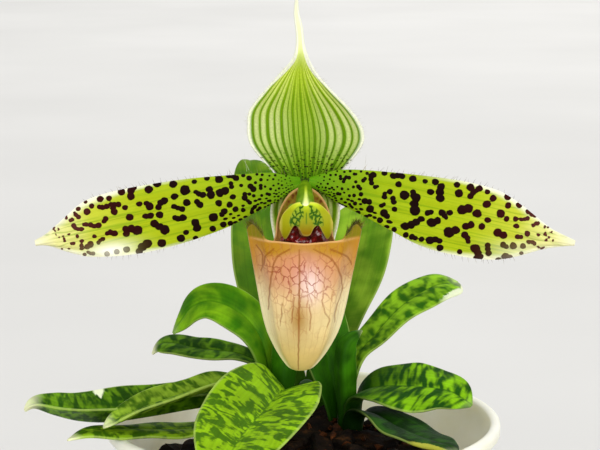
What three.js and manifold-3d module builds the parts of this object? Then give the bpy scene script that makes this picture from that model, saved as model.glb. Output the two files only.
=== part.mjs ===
// A potted slipper orchid: one spotted bloom above three fans of mottled leaves, in a white pot.
// Millimetres, +Z up. The origin is the middle of the pot's underside, and the bloom faces -Y.
import * as THREE from "three";
import { mergeVertices } from "three/addons/utils/BufferGeometryUtils.js";
import Module from "manifold-3d";

const wasm = await Module();
wasm.setup();

// Driving dimensions.
const GAP = 0.35; // air between neighbouring pieces
const POT_HEIGHT = 90;
const RIM_RADIUS = 51.5; // outside of the rolled lip
const LIP_WIDTH = 2.6; // from the outside of the lip to the bore
const LIP_HEIGHT = 3.8;
const FOOT_RADIUS = 35;
const POT_WALL = 1.6;
const POT_FLOOR = 2.4;
const ROUND_SIDES = 44;
const DRAIN = { holes: 6, radius: 3.5, ring: 22, grooveFrom: 12, grooveWidth: 3, grooveDepth: 1.1 };
const MOUND_TOP = 86; // height of the potting mix under the plant
const MOUND_DROP = 18; // how much lower the mix lies at the wall
const CHIPS = 32; // bark chips that stand out of the mix

// Each fan of leaves grows from a short stem: its place, and the height of its tip.
const STEMS = {
  left: { x: -6, y: 3, top: 95, radius: 2.6 },
  right: { x: 11.5, y: 9, top: 97, radius: 2.4 },
  back: { x: 1, y: 24, top: 94, radius: 2.4 },
};
const RHIZOME = { z: 79, radius: 3 };
const ROOTS = { count: 6, radius: 2.1 };

const LEAF = { middle: 1.5, edge: 0.9 }; // thickness at the rib and at the margin
const PETAL_THICKNESS = 1;

// The bloom's heart, where petals, sepals, lip and ovary meet.
const HEART = [0.3, -31, 157.2];
const PETAL_LENGTH = 66.8;
const PETAL_DROOP = 12.8; // degrees below the horizontal
const LIP_MIDDLE = 0.1; // x of the pouch's own middle
const LIP_TOE = [-0.9, -45.5, 113.8];
const LIP_WALL = 0.9;
const SHIELD = { middle: [0.6, -45.2, 149.7], halfWidth: 6.2, dome: 1.6, lean: 0.25 };

const LOOKS = {
  pot: { color: 0xf2efe6, roughness: 0.35 },
  mix: { color: 0x3a2618, roughness: 0.9 },
  root: { color: 0x8a6a3c, roughness: 0.8 },
  leaf: { color: 0x3f7d22, roughness: 0.4 },
  scape: { color: 0x5a4630, roughness: 0.6 },
  ovary: { color: 0x6f9438, roughness: 0.5 },
  bract: { color: 0x7fa53f, roughness: 0.5 },
  sepal: { color: 0xc9dc8a, roughness: 0.45 },
  petal: { color: 0xa9c62f, roughness: 0.45 },
  lip: { color: 0xd9b27c, roughness: 0.45 },
  column: { color: 0x9dbb2e, roughness: 0.4 },
};

// A smooth line through points.
function lineThrough(points) {
  const corners = points.map((p) => new THREE.Vector3(...p));
  return new THREE.CatmullRomCurve3(corners, false, "catmullrom", 0.5);
}

// A number that passes smoothly through values spaced evenly over u 0..1.
function varying(...values) {
  const line = lineThrough(values.map((value, i) => [i, value, 0]));
  return (u) => line.getPoint(THREE.MathUtils.clamp(u, 0, 1)).y;
}

// The same, with each value at its own u: a list of [u, value].
function profile(stations) {
  const at = (i) => stations[THREE.MathUtils.clamp(i, 0, stations.length - 1)];
  const slope = (i) => (at(i + 1)[1] - at(i - 1)[1]) / (at(i + 1)[0] - at(i - 1)[0]);
  return (u) => {
    let k = 0;
    while (k < stations.length - 2 && u > at(k + 1)[0]) k += 1;
    const span = at(k + 1)[0] - at(k)[0];
    const rise = at(k + 1)[1] - at(k)[1];
    const x = THREE.MathUtils.clamp((u - at(k)[0]) / span, 0, 1);
    const leaving = (1 - x) * (slope(k) * span - rise);
    const arriving = x * (slope(k + 1) * span - rise);
    return at(k)[1] + x * rise + x * (1 - x) * (leaving - arriving);
  };
}

// Directions carried along a line without twisting: forward, across and up.
function framesAlong(line, sideHint) {
  const steps = 60;
  const frames = [];
  const side = sideHint.clone();
  for (let i = 0; i <= steps; i += 1) {
    const forward = line.getTangentAt(i / steps);
    side.addScaledVector(forward, -side.dot(forward)).normalize();
    frames.push({ forward, side: side.clone() });
  }
  return (u) => {
    const i = Math.min(steps - 1, Math.floor(u * steps));
    const share = u * steps - i;
    const forward = frames[i].forward.clone().lerp(frames[i + 1].forward, share).normalize();
    const across = frames[i].side.clone().lerp(frames[i + 1].side, share).normalize();
    return { forward, across, up: across.clone().cross(forward) };
  };
}

function geometryOf(vertices, triangles) {
  const positions = vertices.flatMap((v) => [v.x, v.y, v.z]);
  return new THREE.BufferGeometry()
    .setAttribute("position", new THREE.Float32BufferAttribute(positions, 3))
    .setIndex(triangles);
}

// The solid of a closed geometry, with its faces turned to point out.
function solidOf(geometry) {
  const bare = geometry.clone();
  bare.deleteAttribute("normal");
  bare.deleteAttribute("uv");
  const merged = mergeVertices(bare, 1e-4);
  const vertProperties = new Float32Array(merged.attributes.position.array);
  const triVerts = new Uint32Array(merged.index.array);
  const build = () => new wasm.Manifold(new wasm.Mesh({ numProp: 3, vertProperties, triVerts }));
  const solid = build();
  if (solid.volume() > 0) return solid;
  for (let i = 0; i < triVerts.length; i += 3) {
    [triVerts[i + 1], triVerts[i + 2]] = [triVerts[i + 2], triVerts[i + 1]];
  }
  return build();
}

function joined(...solids) {
  return solids.reduce((all, solid) => all.add(solid));
}

// A solid less the spaces that others need. A cut may leave scraps, which are dropped.
function cutClear(solid, ...spaces) {
  const rest = spaces.reduce((left, space) => left.subtract(space), solid).decompose();
  return rest.reduce((best, body) => (body.volume() > best.volume() ? body : best));
}

// A thin closed body round a middle surface, point(u, s), for u 0..1 along it and s -1..1
// across it. A margin makes it larger all round: the space that a neighbour keeps clear.
function sheet({ along, across, point, thickness }, margin = 0) {
  const step = 1e-3;
  const front = [];
  const back = [];
  for (let i = 0; i <= along; i += 1) {
    for (let j = 0; j <= across; j += 1) {
      const u = i / along;
      const s = (2 * j) / across - 1;
      const lengthwise = point(Math.min(1, u + step), s).sub(point(Math.max(0, u - step), s));
      const crosswise = point(u, Math.min(1, s + step)).sub(point(u, Math.max(-1, s - step)));
      const normal = lengthwise.normalize().clone().cross(crosswise.normalize()).normalize();
      const middle = point(u, s);
      if (j === 0 || j === across) middle.addScaledVector(crosswise, margin * s);
      if (i === 0 || i === along) middle.addScaledVector(lengthwise, margin * (2 * u - 1));
      const half = thickness(u, s) / 2 + margin;
      front.push(middle.clone().addScaledVector(normal, half));
      back.push(middle.addScaledVector(normal, -half));
    }
  }
  const row = across + 1;
  const under = front.length;
  const triangles = [];
  for (let i = 0; i < along; i += 1) {
    for (let j = 0; j < across; j += 1) {
      const a = i * row + j;
      const [b, c, d] = [a + row, a + row + 1, a + 1];
      triangles.push(a, b, c, a, c, d);
      triangles.push(under + a, under + c, under + b, under + a, under + d, under + c);
    }
  }
  const edge = [];
  for (let i = 0; i < along; i += 1) edge.push(i * row);
  for (let j = 0; j < across; j += 1) edge.push(along * row + j);
  for (let i = along; i > 0; i -= 1) edge.push(i * row + across);
  for (let j = across; j > 0; j -= 1) edge.push(j);
  edge.forEach((p, k) => {
    const q = edge[(k + 1) % edge.length];
    triangles.push(p, under + p, under + q, p, under + q, q);
  });
  return solidOf(geometryOf([...front, ...back], triangles));
}

// A leaf or bract on a rib. Its halves rise from the rib by the fold angle and curl on from
// there to the margins, and roll turns the whole blade about the rib.
function blade(shape, margin = 0) {
  const line = lineThrough(shape.rib);
  const reach = line.getPointAt(1).sub(line.getPointAt(0));
  const side = shape.side ? new THREE.Vector3(...shape.side) : new THREE.Vector3(reach.y, -reach.x, 0);
  const frameAt = framesAlong(line, side.normalize());
  const point = (u, s) => {
    const { across, up } = frameAt(u);
    const [fold, roll, curl] = [shape.fold(u), shape.roll(u), shape.curl(u) || 0.01];
    const half = shape.halfWidth(u) / THREE.MathUtils.degToRad(curl);
    const [start, end] = [fold, fold + curl * Math.abs(s)].map(THREE.MathUtils.degToRad);
    const out = Math.sign(s) * half * (Math.sin(end) - Math.sin(start));
    const lift = half * (Math.cos(start) - Math.cos(end));
    const turn = THREE.MathUtils.degToRad(roll);
    return line
      .getPointAt(u)
      .addScaledVector(across, out * Math.cos(turn) - lift * Math.sin(turn))
      .addScaledVector(up, out * Math.sin(turn) + lift * Math.cos(turn));
  };
  const { along = 10, across = 6, thickness } = shape;
  return sheet({ along, across, point, thickness }, margin);
}

// A tube with rounded ends, whose radius changes along its line.
function stalk({ line, radius, sides = 8, steps = 12 }, margin = 0) {
  const frameAt = framesAlong(line, new THREE.Vector3(1, 0, 0));
  const endRound = { length: 0.45, radius: 0.6 };
  const rings = [];
  const ringAt = (u, share, shift) => {
    const { across, up, forward } = frameAt(u);
    const middle = line.getPointAt(u).addScaledVector(forward, shift);
    for (let k = 0; k < sides; k += 1) {
      const angle = (2 * Math.PI * k) / sides;
      const out = (radius(u) + margin) * share;
      const point = middle.clone().addScaledVector(across, out * Math.cos(angle));
      rings.push(point.addScaledVector(up, out * Math.sin(angle)));
    }
  };
  ringAt(0, endRound.radius, -endRound.length * radius(0) - margin);
  for (let i = 0; i <= steps; i += 1) ringAt(i / steps, 1, 0);
  ringAt(1, endRound.radius, endRound.length * radius(1) + margin);
  const triangles = [];
  const last = rings.length - sides;
  for (let a = 0; a < last; a += 1) {
    const b = a % sides === sides - 1 ? a + 1 - sides : a + 1;
    triangles.push(a, b, b + sides, a, b + sides, a + sides);
  }
  for (let k = 1; k < sides - 1; k += 1) {
    triangles.push(0, k + 1, k, last, last + k, last + k + 1);
  }
  return solidOf(geometryOf(rings, triangles));
}

// An egg of the given half-lengths.
function egg(middle, halves, sides = 8) {
  const shape = new THREE.SphereGeometry(1, sides, sides - 2);
  return solidOf(shape.scale(...halves).translate(...middle));
}

// A turned solid: its outline is a list of [radius, height].
function turned(outline) {
  const points = outline.map(([r, z]) => new THREE.Vector2(r, z));
  return solidOf(new THREE.LatheGeometry(points, ROUND_SIDES).rotateX(Math.PI / 2));
}

// The same draws each run, for scattered things.
function seeded(seed) {
  let state = seed;
  return () => {
    state = (state * 1664525 + 1013904223) % 4294967296;
    return state / 4294967296;
  };
}

// Radius of the pot's bore at a height: the wall tapers straight to the foot.
function boreRadius(z) {
  const [foot, top] = [FOOT_RADIUS - POT_WALL, RIM_RADIUS - LIP_WIDTH];
  return foot + ((top - foot) * z) / POT_HEIGHT;
}

function pot() {
  const lipFoot = POT_HEIGHT - LIP_HEIGHT;
  const round = LIP_WIDTH / 4;
  const shell = turned([
    [0, 0],
    [FOOT_RADIUS - 1.2, 0],
    [FOOT_RADIUS, 1.2],
    [boreRadius(lipFoot) + POT_WALL, lipFoot],
    [RIM_RADIUS - round, lipFoot + 0.3],
    [RIM_RADIUS, lipFoot + 1.3],
    [RIM_RADIUS, POT_HEIGHT - 1.6],
    [RIM_RADIUS - round, POT_HEIGHT - 0.5],
    [RIM_RADIUS - 2 * round, POT_HEIGHT],
    [RIM_RADIUS - 3 * round, POT_HEIGHT - 0.2],
    [RIM_RADIUS - LIP_WIDTH, POT_HEIGHT - 1],
    [boreRadius(lipFoot), lipFoot],
    [boreRadius(POT_FLOOR + 2), POT_FLOOR + 2],
    [boreRadius(POT_FLOOR) - 2, POT_FLOOR],
    [0, POT_FLOOR],
  ]);
  const cuts = [];
  for (let k = 0; k < DRAIN.holes; k += 1) {
    const angle = (2 * Math.PI * (k + 0.5)) / DRAIN.holes;
    const hole = new THREE.CylinderGeometry(DRAIN.radius, DRAIN.radius, 3 * POT_FLOOR, 16);
    hole.rotateX(Math.PI / 2).translate(DRAIN.ring, 0, POT_FLOOR / 2).rotateZ(angle);
    const length = FOOT_RADIUS - DRAIN.grooveFrom + 2;
    const groove = new THREE.BoxGeometry(length, DRAIN.grooveWidth, 2 * DRAIN.grooveDepth);
    groove.translate(DRAIN.grooveFrom + length / 2, 0, 0).rotateZ(angle);
    cuts.push(solidOf(hole), solidOf(groove));
  }
  return shell.subtract(joined(...cuts));
}

// The potting mix is mounded under the plant, with bark chips standing out of its surface.
function pottingMix(clearings) {
  const floor = POT_FLOOR + GAP;
  const wallZ = MOUND_TOP - MOUND_DROP;
  const edge = boreRadius(wallZ) - GAP;
  const heightAt = (r) => MOUND_TOP - MOUND_DROP * (r / edge) ** 2;
  const mound = turned([
    [0, floor],
    [boreRadius(POT_FLOOR) - 2 - GAP, floor],
    [boreRadius(POT_FLOOR + 2) - GAP, floor + 2],
    ...[1, 0.8, 0.6, 0.4, 0.2, 0].map((share) => [edge * share, heightAt(edge * share)]),
  ]);
  const random = seeded(7);
  const goldenAngle = 2.4;
  const chips = [];
  for (let k = 0; k < CHIPS; k += 1) {
    const reach = Math.sqrt((k + 0.5) / CHIPS) * (edge - 11);
    const angle = k * goldenAngle + 0.3 * random();
    const chip = new THREE.BoxGeometry(7 + 5 * random(), 5 + 3 * random(), 3.4 + 2 * random());
    chip.rotateX(0.9 * (random() - 0.5)).rotateY(0.9 * (random() - 0.5));
    chip.rotateZ(2 * Math.PI * random());
    chip.translate(reach * Math.cos(angle), reach * Math.sin(angle), heightAt(reach));
    chips.push(solidOf(chip));
  }
  return cutClear(joined(mound, ...chips), clearings);
}

// The three stems, the rhizome that joins them, and the roots below.
function rootstock(margin = 0) {
  const { left, right, back } = STEMS;
  const foot = ({ x, y }) => [x, y, RHIZOME.z];
  const straight = (from, to, radius) =>
    stalk({ line: lineThrough([from, to]), radius: () => radius, steps: 1 }, margin);
  const stems = [left, right, back].map((s) => straight(foot(s), [s.x, s.y, s.top], s.radius));
  const rhizome = [left, back].map((s) => straight(foot(s), foot(right), RHIZOME.radius));
  const roots = [];
  for (let k = 0; k < ROOTS.count; k += 1) {
    const angle = (2 * Math.PI * (k + 0.4)) / ROOTS.count;
    const out = (r, z) => [3 + r * Math.cos(angle), 11 + r * Math.sin(angle), z];
    const start = foot(k % 2 ? right : left);
    const line = lineThrough([start, out(13, 68), out(19, 48), out(16, 26), out(19, 12)]);
    const radius = (u) => ROOTS.radius * (1 - 0.35 * u);
    roots.push(stalk({ line, radius, sides: 6, steps: 5 }, margin));
  }
  return joined(...stems, ...rhizome, ...roots);
}

// The leaves, from the inside of each fan outwards: each is cut clear of those before it.
// A rib starts beside its stem, in the mix, and ends at the tip. Fold and roll are in degrees,
// foot to tip, and clasp is how far each half of the foot bends round the stem.
const LEAVES = {
  leaf_left_arching: {
    rib: [[-9.8, 4, 83.5], [-9.9, 4.3, 95], [-10.2, 4.6, 104], [-12.2, 5, 110.6], [-16, 5.5, 115.4],
      [-21, 5, 118.6], [-25.5, 4.5, 119.6], [-29, 4.5, 118], [-31.6, 5.5, 114.6], [-34.4, 7, 110.6]],
    width: 6.8,
    base: 0.68,
    fold: [10, 26, 14, 10],
    roll: [0, 30, 38, 20],
  },
  leaf_front: {
    rib: [[-5.6, -0.9, 83.5], [-5, -1.6, 92.6], [-4.6, -5.4, 97], [-5, -12, 99.6], [-6.6, -22, 101],
      [-9.4, -33, 100.4], [-12.8, -43, 99], [-15.8, -52, 97.4], [-18.4, -62, 94.6], [-20, -69, 90.4]],
    width: 13.6,
    base: 0.36,
    fold: [10, 36, 26, 18],
    roll: [0, 3, 0, -2],
  },
  leaf_left_near: {
    rib: [[-11.1, 0, 83.5], [-12, -0.8, 92], [-15.4, -3.4, 98.4], [-20.5, -8, 100.7], [-27.5, -15, 100.2],
      [-36, -20, 98.6], [-44, -23, 96.2], [-50.2, -25, 94]],
    width: 5,
    base: 0.6,
    widest: 0.66,
    blunt: 5,
    clasp: 46,
    fold: [14, 34, 44, 34],
  },
  leaf_left_long: {
    rib: [[-12.4, 2.8, 83.5], [-13, 2.6, 89.6], [-16, 1.4, 93.4], [-21.5, -1.4, 94], [-29.5, -6, 93.8],
      [-39.5, -10, 93], [-49.5, -13.5, 92.5], [-57, -16, 93.5], [-63, -17.5, 95.5],
      [-68, -18.5, 97.5], [-70.5, -19, 96.5]],
    width: 10.4,
    widest: 0.62,
    blunt: 3.4,
    clasp: 40,
    fold: [14, 44, 42, 34],
  },
  leaf_left_low: {
    rib: [[-11, -2.6, 83], [-13, -4.4, 87], [-18, -6.6, 88.4], [-25.5, -9, 88.8], [-33, -12, 89.2],
      [-40.5, -15, 90.2], [-48, -18.5, 91.2], [-54.5, -23, 91.8], [-59, -26, 91]],
    width: 6,
    clasp: 40,
    fold: [14, 14, 6, 6],
  },
  leaf_centre_young: {
    rib: [[11.1, 5.4, 83.5], [10.7, 4.7, 93], [10.3, 3.8, 100], [10.4, 3.6, 105.4], [11.2, 4, 108.6],
      [12.8, 5, 110.4], [15.5, 7, 111.5]],
    side: [-1, 0.3, 0],
    width: 4.4,
    base: 0.8,
    fold: [20, 52, 54, 40],
  },
  leaf_right_raised: {
    rib: [[12.4, 12.6, 83.5], [12.6, 13.6, 93.6], [14.6, 17, 101.4], [19.4, 20, 106.6], [25.4, 24, 112.4],
      [31, 27.6, 116], [36.8, 31, 118.2], [43.2, 35, 118.4]],
    width: 6.8,
    base: 0.44,
    widest: 0.84,
    blunt: 4.5,
    fold: [10, 26, 12, 8],
    roll: [0, -12, -18, -20],
  },
  leaf_right_broad: {
    rib: [[15, 6.4, 83.5], [15, 6.2, 91.6], [17.4, 4.8, 95.4], [21.8, 2.2, 97], [27.4, -0.8, 97.8],
      [33, -3, 98], [38, -5, 97.5], [43.5, -8, 95]],
    width: 11.4,
    base: 0.4,
    widest: 0.6,
    clasp: 46,
    fold: [14, 20, 8, 6],
    roll: [0, -12, -15, -14],
  },
  leaf_right_low: {
    rib: [[13.6, 3.4, 83], [14.6, 1.8, 89], [18.6, -4.8, 91.2], [24.2, -14.6, 90.6], [29.2, -24, 90.8],
      [33.2, -32, 91.6], [35.6, -36.6, 92], [37, -40, 91.4]],
    width: 7.2,
    base: 0.5,
    clasp: 46,
    fold: [14, 22, 12, 8],
  },
  leaf_back_left: {
    rib: [[-1.8, 26.4, 82], [-3.4, 27.2, 91], [-6.8, 30, 99.5], [-9.2, 35, 109], [-10.5, 40, 119],
      [-11.5, 44, 129], [-12.5, 48, 138.5], [-14, 52, 145.5], [-15, 58, 148.5], [-15.5, 64, 148.5]],
    width: 10,
    blunt: 1.9,
    fold: [10, 26, 18, 14],
  },
  leaf_back_right: {
    rib: [[4.2, 25.9, 82], [5.2, 27.4, 91], [7.6, 30.6, 99.5], [10, 35, 108], [13, 40, 117],
      [15.2, 44, 124.5], [16.6, 48, 130.5], [17.6, 53, 135.5], [18.2, 59, 138.5]],
    width: 10.2,
    widest: 0.68,
    blunt: 3.2,
    fold: [10, 26, 18, 14],
  },
  leaf_back_low: {
    rib: [[-4.4, 22.2, 82], [-5.8, 21.4, 90], [-10.4, 20.2, 97.4], [-17, 20.4, 101.2], [-23, 22, 101.9],
      [-29.6, 24, 102.2], [-35.3, 27, 102.8], [-39.3, 28.6, 102.2], [-41.6, 29, 99.6]],
    width: 4.8,
    widest: 0.74,
    blunt: 3.4,
    clasp: 46,
    fold: [14, 26, 16, 12],
    roll: [0, 4, 12, 14],
  },
  leaf_centre_behind: {
    rib: [[9.4, 12.3, 83.5], [8.4, 13, 92], [6.6, 14.2, 100], [5, 15.6, 107.5], [4, 17.8, 114.5],
      [3.9, 20.6, 121], [4.4, 25, 125]],
    width: 7.6,
    base: 0.6,
    fold: [14, 28, 22, 16],
  },
  leaf_left_sheath: {
    rib: [[-5.6, -0.4, 96.4], [-5, -0.2, 103], [-4.2, 1, 109], [-3.6, 2.6, 113.6]],
    side: [-1, 0, 0],
    width: 4.4,
    base: 0.9,
    clasp: 0,
    fold: [40, 44, 34, 20],
  },
};

// Width of a leaf along it, as a share of the widest: narrow where it clasps the stem, widest
// past the middle, and blunt at the tip.
function leafOutline(base, widest, blunt) {
  const tipShare = 0.035;
  return (u) => {
    if (u < widest) return base + (1 - base) * THREE.MathUtils.smoothstep(u, 0, widest);
    const x = (u - widest) / (1 - widest);
    return Math.max(tipShare, (1 - x ** blunt) ** 0.85);
  };
}

const LEAF_HABIT = { base: 0.42, widest: 0.55, blunt: 2.4, clasp: 66, roll: [0, 0] };

function leafShape(leaf) {
  const { rib, side, width, fold, roll, base, widest, blunt, clasp } = { ...LEAF_HABIT, ...leaf };
  const outline = leafOutline(base, widest, blunt);
  return {
    rib,
    side,
    halfWidth: (u) => width * outline(u),
    fold: varying(...fold),
    roll: varying(...roll),
    curl: varying(clasp, -8, -16, -16),
    thickness: (u, s) => LEAF.middle + (LEAF.edge - LEAF.middle) * s * s,
  };
}

// The back sepal stands behind the bloom: a broad shield that narrows to a thin tail.
const BACK_SEPAL = {
  rib: [[0.5, -30.2, 157.8], [0.2, -29.4, 165], [-0.2, -29, 171], [-0.7, -30, 177], [-1, -32, 183],
    [-0.8, -34, 188.5], [-1, -35, 193.5], [-1.7, -35.4, 198], [-1.7, -35.6, 201.4]],
  left: [[0, 6], [0.1, 10], [0.2, 13], [0.3, 13.3], [0.38, 12.4], [0.49, 8.4], [0.6, 4.2],
    [0.67, 1.9], [0.75, 1], [0.87, 0.8], [1, 0.35]],
  right: [[0, 7], [0.1, 11], [0.2, 14.1], [0.28, 14.2], [0.38, 11.7], [0.49, 7.4], [0.6, 3.7],
    [0.67, 2.1], [0.75, 1], [0.87, 0.8], [1, 0.35]],
  cup: [[0, 0], [0.2, 3.2], [0.45, 2.4], [0.7, 0.4], [1, 0]],
  along: 16,
};

// The two lower sepals are grown together into one, which hides behind the pouch.
const LOWER_SEPAL = {
  rib: [[0.5, -29.6, 156.6], [0.4, -27.6, 151], [0.2, -27, 143], [0, -28.6, 134], [-0.2, -31, 127]],
  left: [[0, 2.4], [0.1, 7], [0.24, 8.4], [0.45, 7.4], [0.75, 4.8], [1, 0.5]],
  right: [[0, 2.4], [0.1, 7], [0.24, 8.4], [0.45, 7.4], [0.75, 4.8], [1, 0.5]],
  cup: [[0, 0], [0.5, 2.4], [1, 0]],
  along: 10,
};

// A sepal's half-widths are given on each side of its rib, and its sides cup forwards.
function sepal({ rib, left, right, cup, along }) {
  const line = lineThrough(rib);
  const [leftWidth, rightWidth, depth] = [left, right, cup].map(profile);
  const point = (u, s) => {
    const middle = line.getPointAt(u);
    middle.x += s * (s < 0 ? leftWidth(u) : rightWidth(u));
    middle.y -= depth(u) * s * s;
    return middle;
  };
  return { along, across: 6, point, thickness: () => PETAL_THICKNESS };
}

// Distances from a petal's own axis to its upper and lower edges, at shares of its length.
const PETALS = {
  petal_left: {
    direction: -1,
    upper: [[0, 1.4], [0.05, 2.9], [0.1, 4.2], [0.2, 5.3], [0.4, 7.1], [0.6, 8], [0.72, 7.9],
      [0.8, 7], [0.9, 3.4], [0.96, 1.3], [1, 0.35]],
    lower: [[0, 0.8], [0.05, 1.5], [0.1, 2.9], [0.2, 4.6], [0.3, 6.4], [0.45, 7.7], [0.6, 8.1],
      [0.72, 7.5], [0.83, 6], [0.9, 3.7], [0.96, 1.3], [1, 0.35]],
  },
  petal_right: {
    direction: 1,
    upper: [[0, 1.4], [0.05, 3.2], [0.1, 4.8], [0.2, 6.3], [0.4, 8], [0.55, 8.7], [0.66, 8.4],
      [0.72, 7.6], [0.8, 5.4], [0.9, 2.2], [0.96, 1.1], [1, 0.35]],
    lower: [[0, 0.6], [0.05, 1.2], [0.1, 2.7], [0.2, 4.3], [0.3, 6], [0.45, 8.7], [0.6, 9.3],
      [0.72, 8.6], [0.8, 6.7], [0.9, 3], [0.96, 1.4], [1, 0.35]],
  },
};

function petal({ direction, upper, lower }) {
  const [above, below] = [upper, lower].map(profile);
  const forward = profile([[0, 2], [0.3, 2.8], [0.7, 1.8], [1, 2.4]]);
  const droop = THREE.MathUtils.degToRad(PETAL_DROOP);
  const foot = 0.9;
  const point = (u, s) => {
    const reach = foot + u * (PETAL_LENGTH - foot);
    const height = s > 0 ? s * above(u) : s * below(u);
    const x = direction * (reach * Math.cos(droop) + height * Math.sin(droop));
    const z = height * Math.cos(droop) - reach * Math.sin(droop);
    const ripple = (0.6 * Math.sin(9 * u + direction) + 1.2 * u) * s * s;
    return new THREE.Vector3(x, ripple - forward(u), z).add(new THREE.Vector3(...HEART));
  };
  return { along: 16, across: 4, point, thickness: (u, s) => PETAL_THICKNESS * (1 - 0.25 * s * s) };
}

// One side of the lip's rim, from the front of the mouth to the back, beside the lip's middle:
// low in front, an ear at the shoulder, a notch behind it, then the gutter up to the heart.
const RIM_HALF = [
  [0, -52, 145.8],
  [2.8, -51.9, 146],
  [5.6, -51.4, 146.2],
  [8.8, -50.1, 146.4],
  [10.1, -48.8, 147.7],
  [11.4, -47.3, 149.3],
  [12.6, -46.2, 149.4],
  [13.5, -45.4, 147.8],
  [12.8, -43.8, 145.5],
  [10.4, -41.6, 143.4],
  [8.2, -40.2, 143.2],
  [7, -39.3, 145.2],
  [6.6, -38.2, 148.8],
  [5.4, -36.9, 152.4],
  [3.2, -35.6, 155.3],
  [0, -34.8, 156.6],
];
// How far the pouch has spread towards its rim, at shares of its height.
const POUCH_SPREAD = [[0, 0], [0.008, 0.13], [0.03, 0.23], [0.1, 0.375], [0.18, 0.5], [0.3, 0.64], [0.45, 0.74],
  [0.7, 0.86], [1, 1]];

// The lip's outside: v 0..1 climbs from the toe to the rim, and turn 0..1 goes round it.
function lipSurface() {
  const beside = (side) => ([x, y, z]) => new THREE.Vector3(LIP_MIDDLE + side * x, y, z);
  const right = RIM_HALF.map(beside(1));
  const left = RIM_HALF.slice(1, -1).map(beside(-1)).reverse();
  const rim = new THREE.CatmullRomCurve3([...right, ...left], true, "catmullrom", 0.5);
  const spreadAt = profile(POUCH_SPREAD);
  const [bulge, backShare] = [4.6, 0.4];
  const point = (v, turn) => {
    const edge = rim.getPoint(((turn % 1) + 1) % 1);
    const facing = Math.cos(2 * Math.PI * turn);
    const swell = bulge * Math.sin(Math.PI * v ** 0.85) * facing * (facing > 0 ? 1 : backShare);
    const spread = spreadAt(v);
    return new THREE.Vector3(
      THREE.MathUtils.lerp(LIP_TOE[0], edge.x, spread),
      THREE.MathUtils.lerp(LIP_TOE[1], edge.y, spread) - swell,
      THREE.MathUtils.lerp(LIP_TOE[2], edge.z, v),
    );
  };
  return { around: 2 * RIM_HALF.length - 2, up: 8, point, wall: LIP_WALL };
}

// A cup with an even wall, closed at its toe and open at its rim.
function cup({ around, up, point, wall }, margin = 0) {
  const step = 1e-3;
  const toe = point(0, 0);
  const outer = [toe.clone().add(new THREE.Vector3(0, 0, -margin))];
  const inner = [toe.clone().add(new THREE.Vector3(0, 0, wall + margin))];
  for (let i = 1; i <= up; i += 1) {
    for (let k = 0; k < around; k += 1) {
      const v = (i / up) ** 1.15;
      const turn = k / around;
      const climb = point(Math.min(1, v + step), turn).sub(point(v - step, turn)).normalize();
      const normal = point(v, turn + step).sub(point(v, turn - step)).cross(climb).normalize();
      const skin = point(v, turn);
      if (i === up) skin.addScaledVector(climb, margin);
      outer.push(skin.clone().addScaledVector(normal, margin));
      inner.push(skin.addScaledVector(normal, -wall - margin));
    }
  }
  const under = outer.length;
  const rim = under - around;
  const triangles = [];
  const quad = (a, b, c, d) => triangles.push(a, b, c, a, c, d);
  for (let k = 0; k < around; k += 1) {
    const next = (k + 1) % around;
    triangles.push(0, 1 + next, 1 + k, under, under + 1 + k, under + 1 + next);
    for (let a = 1 + k; a < rim; a += around) {
      const b = a - k + next;
      quad(a, b, b + around, a + around);
      quad(under + b, under + a, under + a + around, under + b + around);
    }
    quad(rim + k, rim + next, under + rim + next, under + rim + k);
  }
  return solidOf(geometryOf([...outer, ...inner], triangles));
}

// The dark lobes that fold in from the gutter's margins, below the shield.
function sideLobes() {
  const lobes = [-1, 1].flatMap((side) => [
    egg([LIP_MIDDLE + side * 3, -41.8, 146.2], [1.8, 1.6, 2.5]),
    egg([LIP_MIDDLE + side * 4.2, -40.8, 144], [1.7, 1.6, 1.5]),
  ]);
  return joined(...lobes, egg([LIP_MIDDLE, -41.6, 144.3], [3.8, 1.7, 1.4]));
}

// Heights of the shield's edges above its middle, from the middle out to the side: a round
// top, and below it a tooth, a notch and a horn.
const SHIELD_TOP = [[0, 4.4], [0.4, 4], [0.7, 2.8], [0.9, 1.2], [1, -0.8]];
const SHIELD_BOTTOM = [[0, -3.4], [0.14, -3.1], [0.25, -1.7], [0.37, -0.95], [0.5, -1.2], [0.63, -2.8],
  [0.75, -4.15], [0.82, -4.1], [0.9, -3.2], [1, -1.4]];

function shield() {
  const [top, bottom] = [SHIELD_TOP, SHIELD_BOTTOM].map(profile);
  const [x, y, z] = SHIELD.middle;
  const point = (u, s) => {
    const out = 2 * u - 1;
    const height = THREE.MathUtils.lerp(bottom(Math.abs(out)), top(Math.abs(out)), (s + 1) / 2);
    const depth = SHIELD.dome * (out * out + 0.05 * height * height) + SHIELD.lean * height;
    return new THREE.Vector3(x + out * SHIELD.halfWidth, y + depth, z + height);
  };
  return { along: 16, across: 4, point, thickness: () => PETAL_THICKNESS };
}

// The column carries the shield, with an anther at each side and the stigma under it.
function column(margin = 0) {
  const [x, y, z] = HEART;
  const rib = [[x, y, z - 0.6], [x, y - 4, z - 1.6], [x, y - 8, z - 3], [x, y - 12.6, z - 5.4]];
  const core = { line: lineThrough(rib), radius: varying(1.5, 1.8, 2.2, 2.4), steps: 6, sides: 10 };
  const grown = (...halves) => halves.map((half) => half + margin);
  return joined(
    stalk(core, margin),
    egg([x - 2.4, y - 9.6, z - 5.4], grown(1.4, 1.2, 1.6), 6),
    egg([x + 2.4, y - 9.6, z - 5.4], grown(1.4, 1.2, 1.6), 6),
    egg([x, y - 9.4, z - 7], grown(2, 1.6, 1.4), 6),
  );
}

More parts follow.
